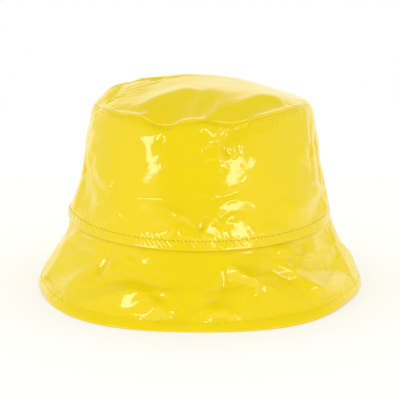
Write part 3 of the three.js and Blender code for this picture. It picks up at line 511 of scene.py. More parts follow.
    (88.8, 22.5, 2.5, 11, 2, 0.77, -0.55, 0.26, 1.9), (83.5, 28.6, 11.2, 5.85, 5, -0.08, -0.56, 0.64, 2),
    (79.7, 35.4, 2.5, 11, -3, -0.77, -0.56, 1.2, 2), (80.2, 37.8, 13.2, 3.61, 79, -0.16, 0.29, 0.67, 2),
    (81.1, 40.5, 4.6, 6.63, 18, -0.58, 0.38, -0.81, 2), (78.3, 41.3, 2.5, 10.59, 2, 0.77, -0.26, 0.33, 2),
    (78.3, 42.1, 8.1, 2.22, -83, 0.09, -0.69, 0.09, 1.9),
    (88.5, 43.9, 8.7, 2.35, 75, 0.26, 0.02, 0.41, 2),
)
TOP_CREASES = (
    (-67.7, -26.7, 9.1, 4.41, 78, -1.41, -0.01, -1.2, 2),
    (-68.6, -16.6, 9.8, 5.46, 30, -0.12, -1.6, -1.06, 1.6),
    (-66.8, -14.7, 2.5, 2.94, 56, -0.88, 0.04, -0.91, 1.2),
    (-66.1, 12.1, 15.7, 6.47, 45, 2.15, 0, -1.2, 2), (-64.8, -17.5, 7.4, 1.3, 21, 0.39, 0.01, -0.16, 1.7),
    (-62.2, -16.8, 11.7, 2.59, 17, 0.83, 0.01, 0.45, 1.2),
    (-63, -15.5, 3.1, 6.45, 82, -0.71, -1.3, -1.03, 1.5),
    (-64.7, -14, 10.4, 2.35, 4, -0.75, -0.02, 0.24, 1.2),
    (-60.1, -13.4, 7.1, 4.64, 52, -0.42, -0.98, 1.2, 1.7),
    (-60.6, -6.8, 3.2, 10.91, -24, -0.25, -1.36, -0.15, 1.2),
    (-63.9, 7.8, 7.3, 9.66, 27, 1.56, 1.57, -0.42, 2),
    (-53.3, -51.5, 14.5, 10.06, -38, -1.74, 1.57, 0.89, 2),
    (-51, -3, 17.5, 11, -40, 1.05, 0.38, -1.17, 1.9), (-44.6, 14.9, 26, 5.42, 11, 1.81, 0, -0.06, 1.2),
    (-45.7, 16.3, 11.1, 5.93, 49, -0.11, -1.15, -0.96, 2),
    (-44.4, 47.1, 2.5, 7.86, 81, 1.27, 1.14, 0.07, 2),
    (-37.2, -62.4, 4.6, 2.24, -70, 0, -0.69, 0.93, 1.2),
    (-41.8, -56.9, 8.4, 2.65, -59, 0.1, 0.72, -0.18, 1.6),
    (-31.2, -37.8, 11.4, 6.75, 41, 0.49, 1.06, 0.11, 2),
    (-39.6, -23.1, 20.4, 11, 45, -0.78, -0.63, -0.43, 2), (-40.1, 7.4, 9, 3.33, 45, 0.9, 0.11, 0.79, 1.2),
    (-33.8, 19.1, 24.4, 2.78, -1, -0.04, -0.83, 1.15, 2), (-37.9, 23, 25.9, 5.28, 1, -2.1, 0.02, 0.68, 2),
    (-35.3, 24.1, 18.3, 3.25, 7, 0.04, 0.94, 0.47, 2), (-21, -71, 26, 10.98, -56, -1.1, -1.3, -1.18, 1.2),
    (-29.7, -46.6, 8.1, 1.53, 77, 0.29, -0.17, -0.48, 2),
    (-22.2, -37.5, 8.1, 9.37, -88, -0.16, 1.25, 0.07, 2),
    (-21.2, 10.2, 6.5, 7.61, -35, -0.03, -1.25, -0.92, 1.6),
    (-26.2, 15, 6.3, 10.23, -67, 1.67, 1.39, -1.2, 1.2),
    (-24.3, 26.2, 12.2, 11, -56, 0.38, -0.78, 1.2, 2), (-17, -68, 21.3, 8.33, 85, 0.14, 1.6, 0.69, 2),
    (-17, -41.2, 6.7, 11, 3, 0.79, -1.46, 0.48, 2), (-14.1, -26, 26, 11, 41, 1.81, 0.11, -0.48, 1.9),
    (-15, 19.6, 21.6, 10.15, 53, 1.34, -1.59, -1.2, 1.7),
    (-11.9, 31.7, 22.6, 6.36, 25, -0.59, 1.49, -1.14, 2),
    (-3.4, -68.3, 14.1, 3.1, 87, 0.01, 0.93, -0.09, 2), (5.7, -65.8, 26, 7.48, 69, -0.21, -1.58, 0.3, 2),
    (-3.7, -33.2, 19.6, 7.42, 71, 0.7, -1, -0.72, 1.9),
    (-3, -15.8, 6.2, 5.97, 76, -0.59, -0.46, -0.36, 1.6),
    (12.9, -61.3, 18.6, 2.1, 87, -0.14, 0.51, 0.86, 2),
    (10.8, -46.9, 19.6, 9.29, 73, 1.06, -1.59, -0.12, 1.4),
    (8.8, -37.7, 25.9, 8.93, 50, -0.77, 0.17, 0.06, 1.2),
    (20.4, -56.4, 18.4, 1.93, 44, -0.01, 0.58, 0.4, 1.3),
    (20.8, -56.4, 4.7, 1.3, -20, 0.02, -0.38, 0.67, 2),
    (19.9, -55.5, 4.2, 3.64, -5, -1.13, 0.04, -0.21, 1.2),
    (19.2, -55.3, 11.3, 1.3, 29, -0.01, -0.39, 0.91, 2),
    (21.3, -52.2, 8.4, 3.01, -1, 0.95, 0, -0.94, 1.2), (20.1, -49.6, 6.4, 1.47, 1, -0.14, 0.32, -1.2, 2),
    (19, 21.1, 16.7, 9.53, -36, -0.46, 0.74, -1.2, 1.3),
    (33.7, -35.8, 19.1, 10.58, 52, 1.9, -1.6, 0.16, 1.4),
    (39.6, -4.2, 19.5, 10.82, 60, -0.52, -0.97, 0.51, 1.2),
    (43.5, -58, 16.5, 2.58, 40, 0.16, -0.64, 0.53, 2), (44.4, -57.1, 23.6, 11, 31, -1.49, -0.02, 0.8, 2),
    (52.8, -29.6, 11.8, 10.96, 88, 1.88, 0.46, -0.29, 1.3),
    (59.4, -33.6, 17.2, 2.77, -72, -0.17, 0.37, 1.2, 2),
    (60.1, -5.2, 13.3, 8.51, -73, -0.72, -0.87, -0.59, 2),
)


def smoothstep(x, low, high):
    """Cubic ease: t = (x - low) / (high - low) held to 0..1, then t * t * (3 - 2 * t)."""
    t = np.clip((x - low) / (high - low), 0, 1)
    return t * t * (3 - 2 * t)


def turn_between(start, end):
    """The way from one angle to another round the shorter side, in degrees."""
    return (end - start + 180) % 360 - 180


def turned(u, v, turn):
    """A place along and across a line that is turned from the level."""
    c, s = np.cos(np.radians(turn)), np.sin(np.radians(turn))
    return u * c + v * s, v * c - u * s


def one_fold(row, u, v):
    """out * exp(-a^2 - b^2), where a runs along the fold over its half length, and b across it
    over its half breadth."""
    along, across = turned(u, v, row.turn)
    return row.out * np.exp(-((along / row.length) ** 2) - (across / row.breadth) ** 2)


def way_round(row, angle):
    """The way from a fold or a crease to an angle, at the seam's half width."""
    return np.radians(turn_between(row[0], angle)) * SEAM


def folds(rows, angle, way):
    """The sum of the folds at an angle and a way up the cloth."""
    return sum(one_fold(row, way_round(row, angle), way - row.way) for row in rows)


def folds_down(rows, angle, reach):
    """The sum of the folds at an angle and a reach down the brim."""
    return sum(one_fold(row, way_round(row, angle), row.way - reach) for row in rows)


def folds_flat(rows, x, y):
    """The sum of the folds of the top at a place on it."""
    return sum(one_fold(row, x - row.x, y - row.y) for row in rows)


def waves(rows, angle, part="rise"):
    """The sum of height * cos(90 deg * t)^2 over the waves, where t runs to 1 at a wave's end."""
    total = np.zeros(np.shape(angle))
    for row in rows:
        t = np.clip(turn_between(row.angle, angle) / row.spread, -1, 1)
        total += getattr(row, part) * np.cos(np.pi / 2 * t) ** 2
    return total


class SectionLine:
    """A Catmull-Rom curve through (half width, height) points, read at any way along it."""

    def __init__(self, points, fine=60):
        p = np.asarray(points, float)
        p = np.vstack([p[:1], p, p[-1:]])
        t = np.linspace(0, 1, fine, endpoint=False)[:, None]
        pieces = []
        for before, start, end, after in zip(p, p[1:], p[2:], p[3:]):
            leave, arrive = (end - before) / 2, (after - start) / 2
            cube = 2 * start - 2 * end + leave + arrive
            square = 3 * end - 3 * start - 2 * leave - arrive
            pieces.append(((cube * t + square) * t + leave) * t + start)
        line = np.vstack([*pieces, p[-1:]])
        self.way = np.concatenate([[0], np.cumsum(np.hypot(*np.diff(line, axis=0).T))])
        tangent = np.gradient(line, self.way, axis=0)
        tangent /= np.linalg.norm(tangent, axis=1)[:, None]
        self.columns = np.hstack([line, tangent])
        self.length = self.way[-1]

    def at(self, way):
        """Half width, height, and the tangent's two parts."""
        return [np.interp(way, self.way, values) for values in self.columns.T]


SIDE_LINE = SectionLine([
    (width * SEAM, BRIM_DROP + share * CROWN_HEIGHT) for share, width in SIDE_SECTIONS
])
BRIM_LINE = SectionLine([
    (width * SEAM, BRIM_DROP * (1 - share)) for share, width in reversed(BRIM_SECTIONS)
])
HEM_WAY = SIDE_LINE.length - ALLOWANCE  # above it the side moves as one with the top's seam


def oval(angle, half_width, height, lean):
    """x = w sin(angle) + lean, y = -w cos(angle) * OVAL, z = height."""
    turn = np.radians(angle)
    x = half_width * np.sin(turn) + lean
    y = -half_width * np.cos(turn) * OVAL
    return np.stack(np.broadcast_arrays(x, y, height), -1)


def side_surface(angle, way, depth=0.0, past=0.0):
    """The section line at a way, moved past along its tangent and in by depth, pushed out along
    its normal by the folds, and lifted by the top seam's waves times the squared share of height."""
    width, height, tangent_w, tangent_z = SIDE_LINE.at(way)
    moved = np.minimum(way, HEM_WAY)
    share = moved / HEM_WAY
    push = folds(SIDE_FOLDS, angle, moved) + side_detail(angle, way) - depth
    lift = waves(TOP_SEAM_WAVES, angle) * share**2
    width = width + past * tangent_w + push * tangent_z
    height = height + past * tangent_z - push * tangent_w + lift
    return oval(angle, width, height, LEAN * share)


def brim_surface(angle, way, depth=0.0, past=0.0):
    """As the side, with the way up from the edge. The edge's waves push out by the square of the
    share of reach and lift by its cube, and the normal turns level by its sixth power."""
    width, height, tangent_w, tangent_z = BRIM_LINE.at(way)
    reach = BRIM_LINE.length - way
    share = reach / BRIM_LINE.length
    free = smoothstep(reach, *FOLDS_BELOW_SEAM) * smoothstep(way, *FOLDS_ABOVE_EDGE)
    held = 1 - smoothstep(reach, *SIDE_FOLDS_END)
    push = free * folds_down(BRIM_FOLDS, angle, reach) + held * folds(SIDE_FOLDS, angle, 0.0)
    push = push + share**2 * waves(EDGE_WAVES, angle, "out") + brim_detail(angle, reach) - depth
    level = share**6
    normal_w = tangent_z * (1 - level) + level
    normal_z = -tangent_w * (1 - level)
    size = np.hypot(normal_w, normal_z)
    width = width + past * tangent_w + push * normal_w / size
    height = height + past * tangent_z + push * normal_z / size + waves(EDGE_WAVES, angle) * share**3
    return oval(angle, width, height, 0.0)


def top_surface(angle, share, depth=0.0, inset=0.0):
    """A dome over the share s of the way out: DOME * (1 - s^DOME_POWER) above the seam, with the
    seam's waves times s^4 and the top's folds times 1 - s^6."""
    width, height, tangent_w, tangent_z = SIDE_LINE.at(SIDE_LINE.length)
    flat = oval(angle, width * share, 0.0, 0.0)
    x, y = flat[..., 0], flat[..., 1] / OVAL
    push = folds(SIDE_FOLDS, angle, HEM_WAY) * share**6
    lift = waves(TOP_SEAM_WAVES, angle) * share**4 + folds_flat(TOP_FOLDS, x, y) * (1 - share**6)
    lift = lift + top_detail(x, y, share)
    rise = DOME * (1 - share**DOME_POWER) + GAP + CLOTH - depth
    width = width * share - inset + push * tangent_z
    return oval(angle, width, height + rise - push * tangent_w + lift, LEAN)


def one_crease(row, u, v):
    """(out + tilt * b) * exp(R^p - a^2 - (b^2 + R)^p), where R is ROUNDING, p is power / 2, a runs
    along the crease over its half length, and b across it over its half breadth, less bend * a^2."""
    _, _, length, breadth, turn, out, tilt, bend, power = row
    along, across = turned(u, v, turn)
    a = along / length
    b = across / breadth - bend * a * a
    fade = ROUNDING ** (power / 2) - a * a - (b * b + ROUNDING) ** (power / 2)
    return (out + tilt * b) * np.exp(fade)


def creases(rows, angle, way):
    """The front's creases, which fade past the sides into BACK_SHARE of the same creases half a
    turn further on, so that the back is creased like the front, but more softly."""
    behind = smoothstep(np.abs(turn_between(0, angle)), *BACK_STARTS)
    back = creases_of(rows, angle + 180, way)
    return (1 - behind) * creases_of(rows, angle, way) + BACK_SHARE * behind * back


def creases_of(rows, angle, way):
    """The sum of the front's creases at an angle and a way."""
    return sum(one_crease(row, way_round(row, angle), way - row[1]) for row in rows)


def puckers(angle, slant):
    """Small uneven waves round the hat: the sum of height * sin(count * (angle + slant) + count^2)."""
    turn = np.radians(angle + slant)
    return sum(height * np.sin(count * turn + count**2) for count, height in PUCKER_WAVES)


def band(way, start, full, fade, end):
    """1 from full to fade, easing to 0 at start and end."""
    return smoothstep(way, start, full) * (1 - smoothstep(way, fade, end))


def inside_ends(way, line, ends):
    """1 along a section line, easing to 0 over the first and the last few millimetres."""
    low, high = ends
    return band(way, 0, low, line.length - high, line.length)


def side_detail(angle, way):
    """The creases, the puckers at both seams, and a groove along each row of stitches."""
    top = SIDE_LINE.length
    push = creases(SIDE_CREASES, angle, way) * inside_ends(way, SIDE_LINE, SIDE_CREASE_ENDS)
    push = push + HEM_PUCKER * puckers(angle, PUCKER_SLANT * way) * band(way, *HEM_BAND)
    below_top = band(way, *(top + place for place in TOP_SEAM_BAND))
    push = push + TOP_PUCKER * puckers(angle, TOP_PUCKER_TURN - PUCKER_SLANT * way) * below_top
    return push - groove(way, HEM_ROW) - groove(way, top - TOP_ROW)


def groove(way, row):
    """GROOVE * exp(-((way - row) / GROOVE_WIDTH)^2)."""
    return GROOVE * np.exp(-(((way - row) / GROOVE_WIDTH) ** 2))


def brim_detail(angle, reach):
    """As the side, with the puckers along the stitches near the edge."""
    way = BRIM_LINE.length - reach
    push = creases(BRIM_CREASES, angle, way) * inside_ends(way, BRIM_LINE, BRIM_CREASE_ENDS)
    push = push + EDGE_PUCKER * puckers(angle, -PUCKER_SLANT * way) * band(way, *EDGE_BAND)
    return push - groove(way, EDGE_ROW)


def top_detail(x, y, share):
    """The top's creases, times 1 - share^12, and its puckers round the seam."""
    lift = sum(one_crease(row, x - row[0], y - row[1]) for row in TOP_CREASES) * (1 - share**12)
    angle = np.degrees(np.arctan2(x, -y))
    return lift + RIM_PUCKER * puckers(angle, TOP_PUCKER_TURN) * band(share, *RIM_BAND)


def angle_columns(count=COLUMNS, crowding=CROWDING):
    """Angles round the hat that lie closer at the front: u - crowding * sin(u), u in even steps."""
    u = np.linspace(-np.pi, np.pi, count, endpoint=False)
    return np.degrees(u - crowding * np.sin(u))


def rolled_edge(thickness, reach):
    """Depth and way past for a rounded edge: thickness / 2 * (1 - cos(phi)) and reach * sin(phi)."""
    phi = np.linspace(0, np.pi, ROLL_ROWS + 2)[1:-1]
    return thickness / 2 * (1 - np.cos(phi)), reach * np.sin(phi)


def column(values):
    """Values one below the other, so that each of them meets every angle."""
    return values[:, None]


def up_and_down(low, high, row_counts):
    """Columns of the ways up the outside and down the inside."""
    outside, inside = row_counts
    return column(np.linspace(low, high, outside)), column(np.linspace(high, low, inside))


def shell_faces(rows, columns):
    """Quads between each row of points and the next, round to the first column again."""
    index = np.arange(rows * columns).reshape(rows, columns)
    beside = np.roll(index, -1, axis=1)
    return np.stack([index[:-1], beside[:-1], beside[1:], index[1:]], -1).reshape(-1, 4)


def shell_uv(rows, columns, along):
    """For each quad's corner, u goes once round the hat and v is the way along the section."""
    u = np.arange(columns + 1) / columns * 2 * np.pi * SEAM * MM
    v = along * MM
    left, right = (np.broadcast_to(a, (rows - 1, columns)) for a in (u[:-1], u[1:]))
    low, high = (np.broadcast_to(a[:, None], (rows - 1, columns)) for a in (v[:-1], v[1:]))
    corners = [(left, low), (right, low), (right, high), (left, high)]
    return np.stack([np.stack(pair, -1) for pair in corners], -2).reshape(-1, 2)


def add_piece(name, points, quads, looks, uv=None, look_of_face=None, triangles=None):
    """A smooth mesh object at the origin from points in millimetres."""
    mesh = bpy.data.meshes.new(name)
    triangles = np.zeros((0, 3), int) if triangles is None else triangles
    corners = np.concatenate([quads.ravel(), triangles.ravel()])
    starts = np.concatenate([np.arange(len(quads)) * 4, len(quads) * 4 + np.arange(len(triangles)) * 3])
    mesh.vertices.add(len(points))
    mesh.vertices.foreach_set("co", (points * MM).astype(np.float32).ravel())
    mesh.loops.add(len(corners))
    mesh.loops.foreach_set("vertex_index", corners.astype(np.int32))
    mesh.polygons.add(len(starts))
    mesh.polygons.foreach_set("loop_start", starts.astype(np.int32))
    if look_of_face is not None:
        mesh.polygons.foreach_set("material_index", look_of_face.astype(np.int32))
    mesh.update(calc_edges=True)
    mesh.polygons.foreach_set("use_smooth", np.ones(len(starts), bool))
    if uv is not None:
        layer = mesh.uv_layers.new(name="cloth")
        flat = np.zeros((len(corners), 2), np.float32)
        flat[: len(uv)] = uv
        layer.data.foreach_set("uv", flat.ravel())
    for look in looks:
        mesh.materials.append(look)
    if mesh.validate():
        raise RuntimeError(f"{name} has broken faces")
    piece = bpy.data.objects.new(name, mesh)
    bpy.context.scene.collection.objects.link(piece)
    return piece


def join_rows(blocks):
    """The rows of all the blocks, and whether each row is backing. A block is its points and whether
    they are backing."""
    points = np.concatenate([block for block, _ in blocks])
    return points, np.concatenate([np.full(len(block), inner) for block, inner in blocks])


def way_along(points):
    """The way from the first row to each row, down the first column."""
    steps = np.linalg.norm(np.diff(points[:, 0], axis=0), axis=1)
    return np.concatenate([[0], np.cumsum(steps)])


def ring_shell(name, blocks, looks, uv_start):
    """A closed ring from blocks of rows, which ends where it starts."""
    points, backing = join_rows(blocks)
    rows, columns = points.shape[:2]
    along = way_along(np.concatenate([points, points[:1]]))
    quads = shell_faces(rows + 1, columns) % (rows * columns)
    strip = backing & np.roll(backing, -1)
    return add_piece(
        name, points.reshape(-1, 3), quads, looks, shell_uv(rows + 1, columns, uv_start + along),
        np.repeat(strip, columns),
    )


def build_side(looks):
    """Outside up, over the rolled top edge, down the backing and round the rolled lower edge."""
    angle = angle_columns()[None]
    low, high = CLOTH / 2, SIDE_LINE.length - SEAM_ROLL + SEAM_CLOSING
    up, down = up_and_down(low, high, SIDE_ROWS)
    depth, past = rolled_edge(CLOTH, SEAM_ROLL)
    hem_depth, hem_past = rolled_edge(CLOTH, CLOTH / 2)
    blocks = [
        (side_surface(angle, up), False),
        (side_surface(angle, high, column(depth), column(past)), False),
        (side_surface(angle, down, CLOTH), True),
        (side_surface(angle, low, column(hem_depth[::-1]), column(-hem_past[::-1])), False),
    ]
    return ring_shell("crown_side_panel", blocks, looks, SIDE_UV_START)


def build_brim(looks):
    """Up the outside from the edge, up the collar behind the side, over and down again inside."""
    angle = angle_columns()[None]
    low, high = BRIM_CLOTH / 2, BRIM_LINE.length - BRIM_TO_COLLAR
    up, down = up_and_down(low, high, BRIM_ROWS)
    tuck = np.linspace(0, ALLOWANCE - BRIM_CLOTH / 2, COLLAR_ROWS)
    face = CLOTH + GAP
    depth, past = rolled_edge(BRIM_CLOTH, BRIM_CLOTH / 2)
    blocks = [
        (brim_surface(angle, up), False),
        (side_surface(angle, column(tuck), face), False),
        (side_surface(angle, tuck[-1], face + column(depth), column(past)), False),
        (side_surface(angle, column(tuck[::-1]), face + BRIM_CLOTH), False),
        (brim_surface(angle, down, BRIM_CLOTH), False),
        (brim_surface(angle, low, column(depth[::-1]), column(-past[::-1])), False),
    ]
    return ring_shell("brim_panel", blocks, looks, BRIM_UV_START)


def build_top(looks):
    """From the middle out over the dome, round its rim, down the collar and back underneath."""
    angle = angle_columns()[None]
    outer_rows, inner_rows = TOP_ROWS
    rim_share = 1 - SEAM_ROLL / (SEAM * SIDE_SECTIONS[-1][1])
    rim_depth, rim_past = rolled_edge(CLOTH + SEAM_CLOSING, SEAM_ROLL)
    depth, past = rolled_edge(CLOTH, CLOTH / 2)
    face = CLOTH + GAP
    top = SIDE_LINE.length
    hem = HEM_WAY + CLOTH / 2
    tuck = np.linspace(top, hem, COLLAR_ROWS)
    outer = np.linspace(0, rim_share, outer_rows + 1)[1:]
    inner = np.linspace(rim_share - UNDERSIDE_INSET, 0, inner_rows + 1)[:-1]
    blocks = [
        (top_surface(angle, column(outer)), False),
        (top_surface(angle, rim_share, column(rim_depth), column(-rim_past)), False),
        (side_surface(angle, column(tuck[1:]), face), True),
        (side_surface(angle, hem, face + column(depth), column(-past)), True),
        (side_surface(angle, column(tuck[::-1]), face + CLOTH), True),
        (top_surface(angle, column(inner), CLOTH), True),
    ]
    points, backing = join_rows(blocks)
    rows, columns = points.shape[:2]
    centre = np.zeros((1, 1))
    middles = np.concatenate([top_surface(0.0, centre)[0], top_surface(0.0, centre, CLOTH)[0]])
    first = np.arange(columns)
    last = first + (rows - 1) * columns
    over = rows * columns
    # A fan of triangles joins each middle to the first and the last row.
    caps = np.concatenate([
        np.stack([np.full(columns, over), np.roll(first, -1), first], -1),
        np.stack([np.full(columns, over + 1), last, np.roll(last, -1)], -1),
    ])
    strip = np.repeat(backing[:-1] & backing[1:], columns)
    look_of_face = np.concatenate([strip, np.zeros(columns), np.ones(columns)])
    return add_piece(
        "crown_top_panel", np.concatenate([points.reshape(-1, 3), middles]),
        shell_faces(rows, columns), looks,
        shell_uv(rows, columns, TOP_UV_START + way_along(points)), look_of_face, caps,
    )


def surface_axes(surface, angle, way):
    """A surface's points, with its unit vectors round the hat, up the cloth and outwards."""
    step = 0.05
    middle = surface(angle, way)
    across = surface(angle + step, way) - surface(angle - step, way)
    upward = surface(angle, way + step) - surface(angle, way - step)
    across /= np.linalg.norm(across, axis=-1, keepdims=True)
    out = np.cross(across, upward)
    out /= np.linalg.norm(out, axis=-1, keepdims=True)
    return middle, across, np.cross(out, across), out


def laid_on(axes, along, upward, out):
    """Points at the middle + along, upward and out of a surface's axes, in millimetres."""
    middle, across, up, normal = axes
    return middle + across * along[..., None] + up * upward[..., None] + normal * out[..., None]


def thread_loops(axes, ring, settings):
    """The points of the loops. Each rises by LOOP_RISE * sin(pi * s) - LOOP_SINK half thicknesses
    over the cloth, so that it dips at both ends, with a ring of points round it at each place s."""
    length, radius = settings.stitch_length / MM, settings.thread_thickness / MM / 2
    s = np.linspace(0, 1, LOOP_PLACES)[None, :, None]
    rise = (LOOP_RISE * np.sin(np.pi * s) - LOOP_SINK) * radius
    thick = radius * (LOOP_ENDS + (1 - LOOP_ENDS) * np.sin(np.pi * s) ** 0.5)
    axes = [part[:, None, None, :] for part in axes]
    along = (s - 0.5) * length + 0 * ring
    return laid_on(axes, along, thick * np.sin(ring), rise + thick * np.cos(ring))


def needle_holes(axes, ring, size):
    """The points of the holes' painted shade: dark hexagons that lie on the cloth where the shade inside
    each hole falls.
    """
    half = size / MM / 2
    axes = [part[:, None, :] for part in axes]
    return laid_on(axes, half * np.cos(ring), half * HOLE_HEIGHT * np.sin(ring), HOLE_LIFT + 0 * ring)


def build_stitches(name, surface, way, count, hole_share, settings, looks):
    """Loops of thread along a row, with a needle hole between each loop and the next, drawn as a dark
    hexagon of painted shade.
    """
    ring = np.linspace(0, 2 * np.pi, LOOP_SIDES, endpoint=False)
    angle = (np.arange(count) + 0.5) * 360 / count - 180
    place = np.full(count, way)
    points = thread_loops(surface_axes(surface, angle, place), ring, settings)
    between = surface_axes(surface, angle + 180 / count, place)
    hole_shades = needle_holes(between, ring, hole_share * settings.hole_size)
    loop_size = LOOP_PLACES * LOOP_SIDES
    fan = np.array([[0, k, k + 1] for k in range(1, LOOP_SIDES - 1)])
    ends = np.concatenate([fan, (fan + (LOOP_PLACES - 1) * LOOP_SIDES)[:, ::-1]])
    shift = np.arange(count)[:, None, None]
    thread_quads = (shell_faces(LOOP_PLACES, LOOP_SIDES) + shift * loop_size).reshape(-1, 4)
    thread_ends = (ends + shift * loop_size).reshape(-1, 3)
    hole_shade_faces = (fan + shift * LOOP_SIDES + count * loop_size).reshape(-1, 3)
    look_of_face = np.zeros(len(thread_quads) + len(thread_ends) + len(hole_shade_faces))
    # The hexagons of painted shade take the second look, the dark one.
    look_of_face[-len(hole_shade_faces):] = 1
    return add_piece(
        name, np.concatenate([points.reshape(-1, 3), hole_shades.reshape(-1, 3)]), thread_quads, looks,
        look_of_face=look_of_face, triangles=np.concatenate([thread_ends, hole_shade_faces]),
    )


class Nodes:
    """Short calls for one material's or world's node tree."""

    def __init__(self, tree):
        self.tree = tree
        tree.nodes.clear()

    def add(self, kind, values=None, **options):
        """A node of a kind, with its options set and its inputs set or linked."""
        node = self.tree.nodes.new(kind)
        for key, value in options.items():
            setattr(node, key, value)
        for key, value in (values or {}).items():
            if isinstance(value, bpy.types.NodeSocket):
                self.tree.links.new(value, node.inputs[key])
            else:
                node.inputs[key].default_value = value
        return node

    def math(self, operation, *values):
        """The result of an operation on values or other nodes' results."""
        return self.add("ShaderNodeMath", dict(enumerate(values)), operation=operation).outputs[0]

    def ramp(self, value, low, high, start=0.0, end=1.0):
        """The cubic ease from start at low to end at high."""
        values = {"Value": value, "From Min": low, "From Max": high, "To Min": start, "To Max": end}
        return self.add("ShaderNodeMapRange", values, interpolation_type="SMOOTHSTEP").outputs[0]

    def blend(self, start, end, share):
        """A value from start, where the share is 0, to end, where it is 1."""
        return self.add("ShaderNodeMix", {0: share, 2: start, 3: end}, data_type="FLOAT").outputs[0]

    def noise(self, place, scale, detail=2.0):
        """A smooth uneven pattern from 0 to 1."""
        values = {"Vector": place, "Scale": scale, "Detail": detail}
        return self.add("ShaderNodeTexNoise", values).outputs["Fac"]

    def tones(self, share, colour, low, high):
        """A colour times low where the share is 0, and times high where it is 1."""
        ends = {0: share, 6: shaded(colour, low), 7: shaded(colour, high)}
        return self.add("ShaderNodeMix", ends, data_type="RGBA").outputs[2]

    def bump(self, height, strength, distance, under=None):
        """The surface's direction over a height, on top of another bump where one is given."""
        values = {"Height": height, "Strength": strength, "Distance": distance}
        if under is not None:
            values["Normal"] = under
        return self.add("ShaderNodeBump", values).outputs[0]

    def object_place(self):
        """The place on the piece, in metres."""
        return self.add("ShaderNodeTexCoord").outputs["Object"]

    def cloth_place(self):
        """Round the hat and along the cloth, in metres, from the piece's own map."""
        uv = self.add("ShaderNodeUVMap", uv_map="cloth").outputs[0]
        return self.add("ShaderNodeSeparateXYZ", {0: uv}).outputs[:2]

    def finish(self, values):
        """The material's shader with its values, and its output."""
        shader = self.add("ShaderNodeBsdfPrincipled", values)
        self.add("ShaderNodeOutputMaterial", {"Surface": shader.outputs[0]})


def new_look(name):
    """An empty material, and its nodes."""
    look = bpy.data.materials.new(name)
    look.use_nodes = True
    return look, Nodes(look.node_tree)


def shaded(colour, factor):
    """An opaque colour times a factor."""
    return (*(channel * factor for channel in colour[:3]), 1.0)


def fine_puckers(nodes, place):
    """Height in metres of the finest puckers: the sum of height * sin(count * (turn + slant * way)
    + count^2) round the hat, within the bands beside the rows of stitches. They ease to SIDE_PUCKERS
    at the sides and the back."""
    x, y, _ = nodes.add("ShaderNodeSeparateXYZ", {0: place}).outputs
    turn = nodes.math("ARCTAN2", x, nodes.math("MULTIPLY", y, -1 / OVAL))
    share = nodes.ramp(nodes.math("COSINE", turn), *FRONT_STARTS, SIDE_PUCKERS, 1.0)
    _, way = nodes.cloth_place()
    slanted = nodes.math("MULTIPLY_ADD", way, FINE_SLANT / MM, turn)
    total = 0.0
    for count, height in FINE_PUCKERS:
        wave = nodes.math("SINE", nodes.math("MULTIPLY_ADD", slanted, float(count), float(count**2)))
        total = nodes.math("MULTIPLY_ADD", wave, height * MM, total)
    bands = 0.0
    for start, full, fade, end, strength in FINE_BANDS:
        rise = nodes.ramp(way, start * MM, full * MM)
        fall = nodes.ramp(way, fade * MM, end * MM, strength, 0.0)
        bands = nodes.math("MULTIPLY_ADD", rise, fall, bands)
    return nodes.math("MULTIPLY", nodes.math("MULTIPLY", total, bands), share)


def glossy_coating(settings):
    """Glossy coated cloth: a clear coat over a yellow base that varies a little. The finest puckers
    and a faint ripple shape both layers, and the grain of the cloth only the base."""
    look, nodes = new_look("glossy_coating")
    place = nodes.object_place()
    cloudy = nodes.noise(place, CLOUDS_PER_METRE)
    drawn = nodes.bump(fine_puckers(nodes, place), strength=1.0, distance=1.0)
    ripples = nodes.noise(place, RIPPLES_PER_METRE, detail=1.0)
    wavy = nodes.bump(ripples, strength=1.0, distance=RIPPLE_HEIGHT, under=drawn)
    grains = nodes.noise(place, GRAINS_PER_METRE, detail=3.0)
    grainy = nodes.bump(grains, strength=0.5, distance=GRAIN_HEIGHT, under=wavy)
    nodes.finish({
        "Base Color": nodes.tones(cloudy, settings.cloth_colour, *CLOTH_TONES),
        "Roughness": settings.base_roughness,
        "Specular IOR Level": 0.0,
        "Coat Weight": 1.0,
        "Coat Roughness": settings.coat_roughness,
        "Coat IOR": 1.5,
        "Normal": grainy,
        "Coat Normal": wavy,
    })
    return look


def cloth_back(settings):
    """The matt back of the cloth: a plain weave, sin(u) * sin(v), that repeats over the pitch."""
    look, nodes = new_look("cloth_back")
    turns = 2 * np.pi / settings.weave_pitch
    over, under = (nodes.math("SINE", nodes.math("MULTIPLY", way, turns)) for way in nodes.cloth_place())
    weave = nodes.math("MULTIPLY", over, under)
    nodes.finish({
        "Base Color": nodes.tones(nodes.ramp(weave, -1.0, 1.0), settings.back_colour, *BACK_TONES),
        "Roughness": 0.85,
        "Sheen Weight": 0.25,
        "Normal": nodes.bump(weave, strength=0.6, distance=WEAVE_HEIGHT),
    })
    return look


def sewing_thread(settings):
    """Twisted thread with a soft shine."""
    look, nodes = new_look("sewing_thread")
    place = nodes.object_place()
    fibres = nodes.noise(place, FIBRES_PER_METRE)
    twists = nodes.noise(place, TWISTS_PER_METRE)
    nodes.finish({
        "Base Color": nodes.tones(fibres, settings.thread_colour, *THREAD_TONES),
        "Roughness": 0.5,
        "Specular IOR Level": 0.2,
        "Normal": nodes.bump(twists, strength=0.5, distance=WEAVE_HEIGHT),
    })
    return look


def needle_hole_shade(settings):
    """Painted shade of a needle hole: a dark matt colour that stands in for the shade inside it."""
    look, nodes = new_look("needle_hole_shade")
    cloudy = nodes.noise(nodes.object_place(), HOLE_SHADE_CLOUDS_PER_METRE)
    nodes.finish({
        "Base Color": nodes.tones(cloudy, settings.hole_colour, *HOLE_SHADE_TONES),
        "Roughness": 0.8,
        "Specular IOR Level": 0.0,
    })
    return look


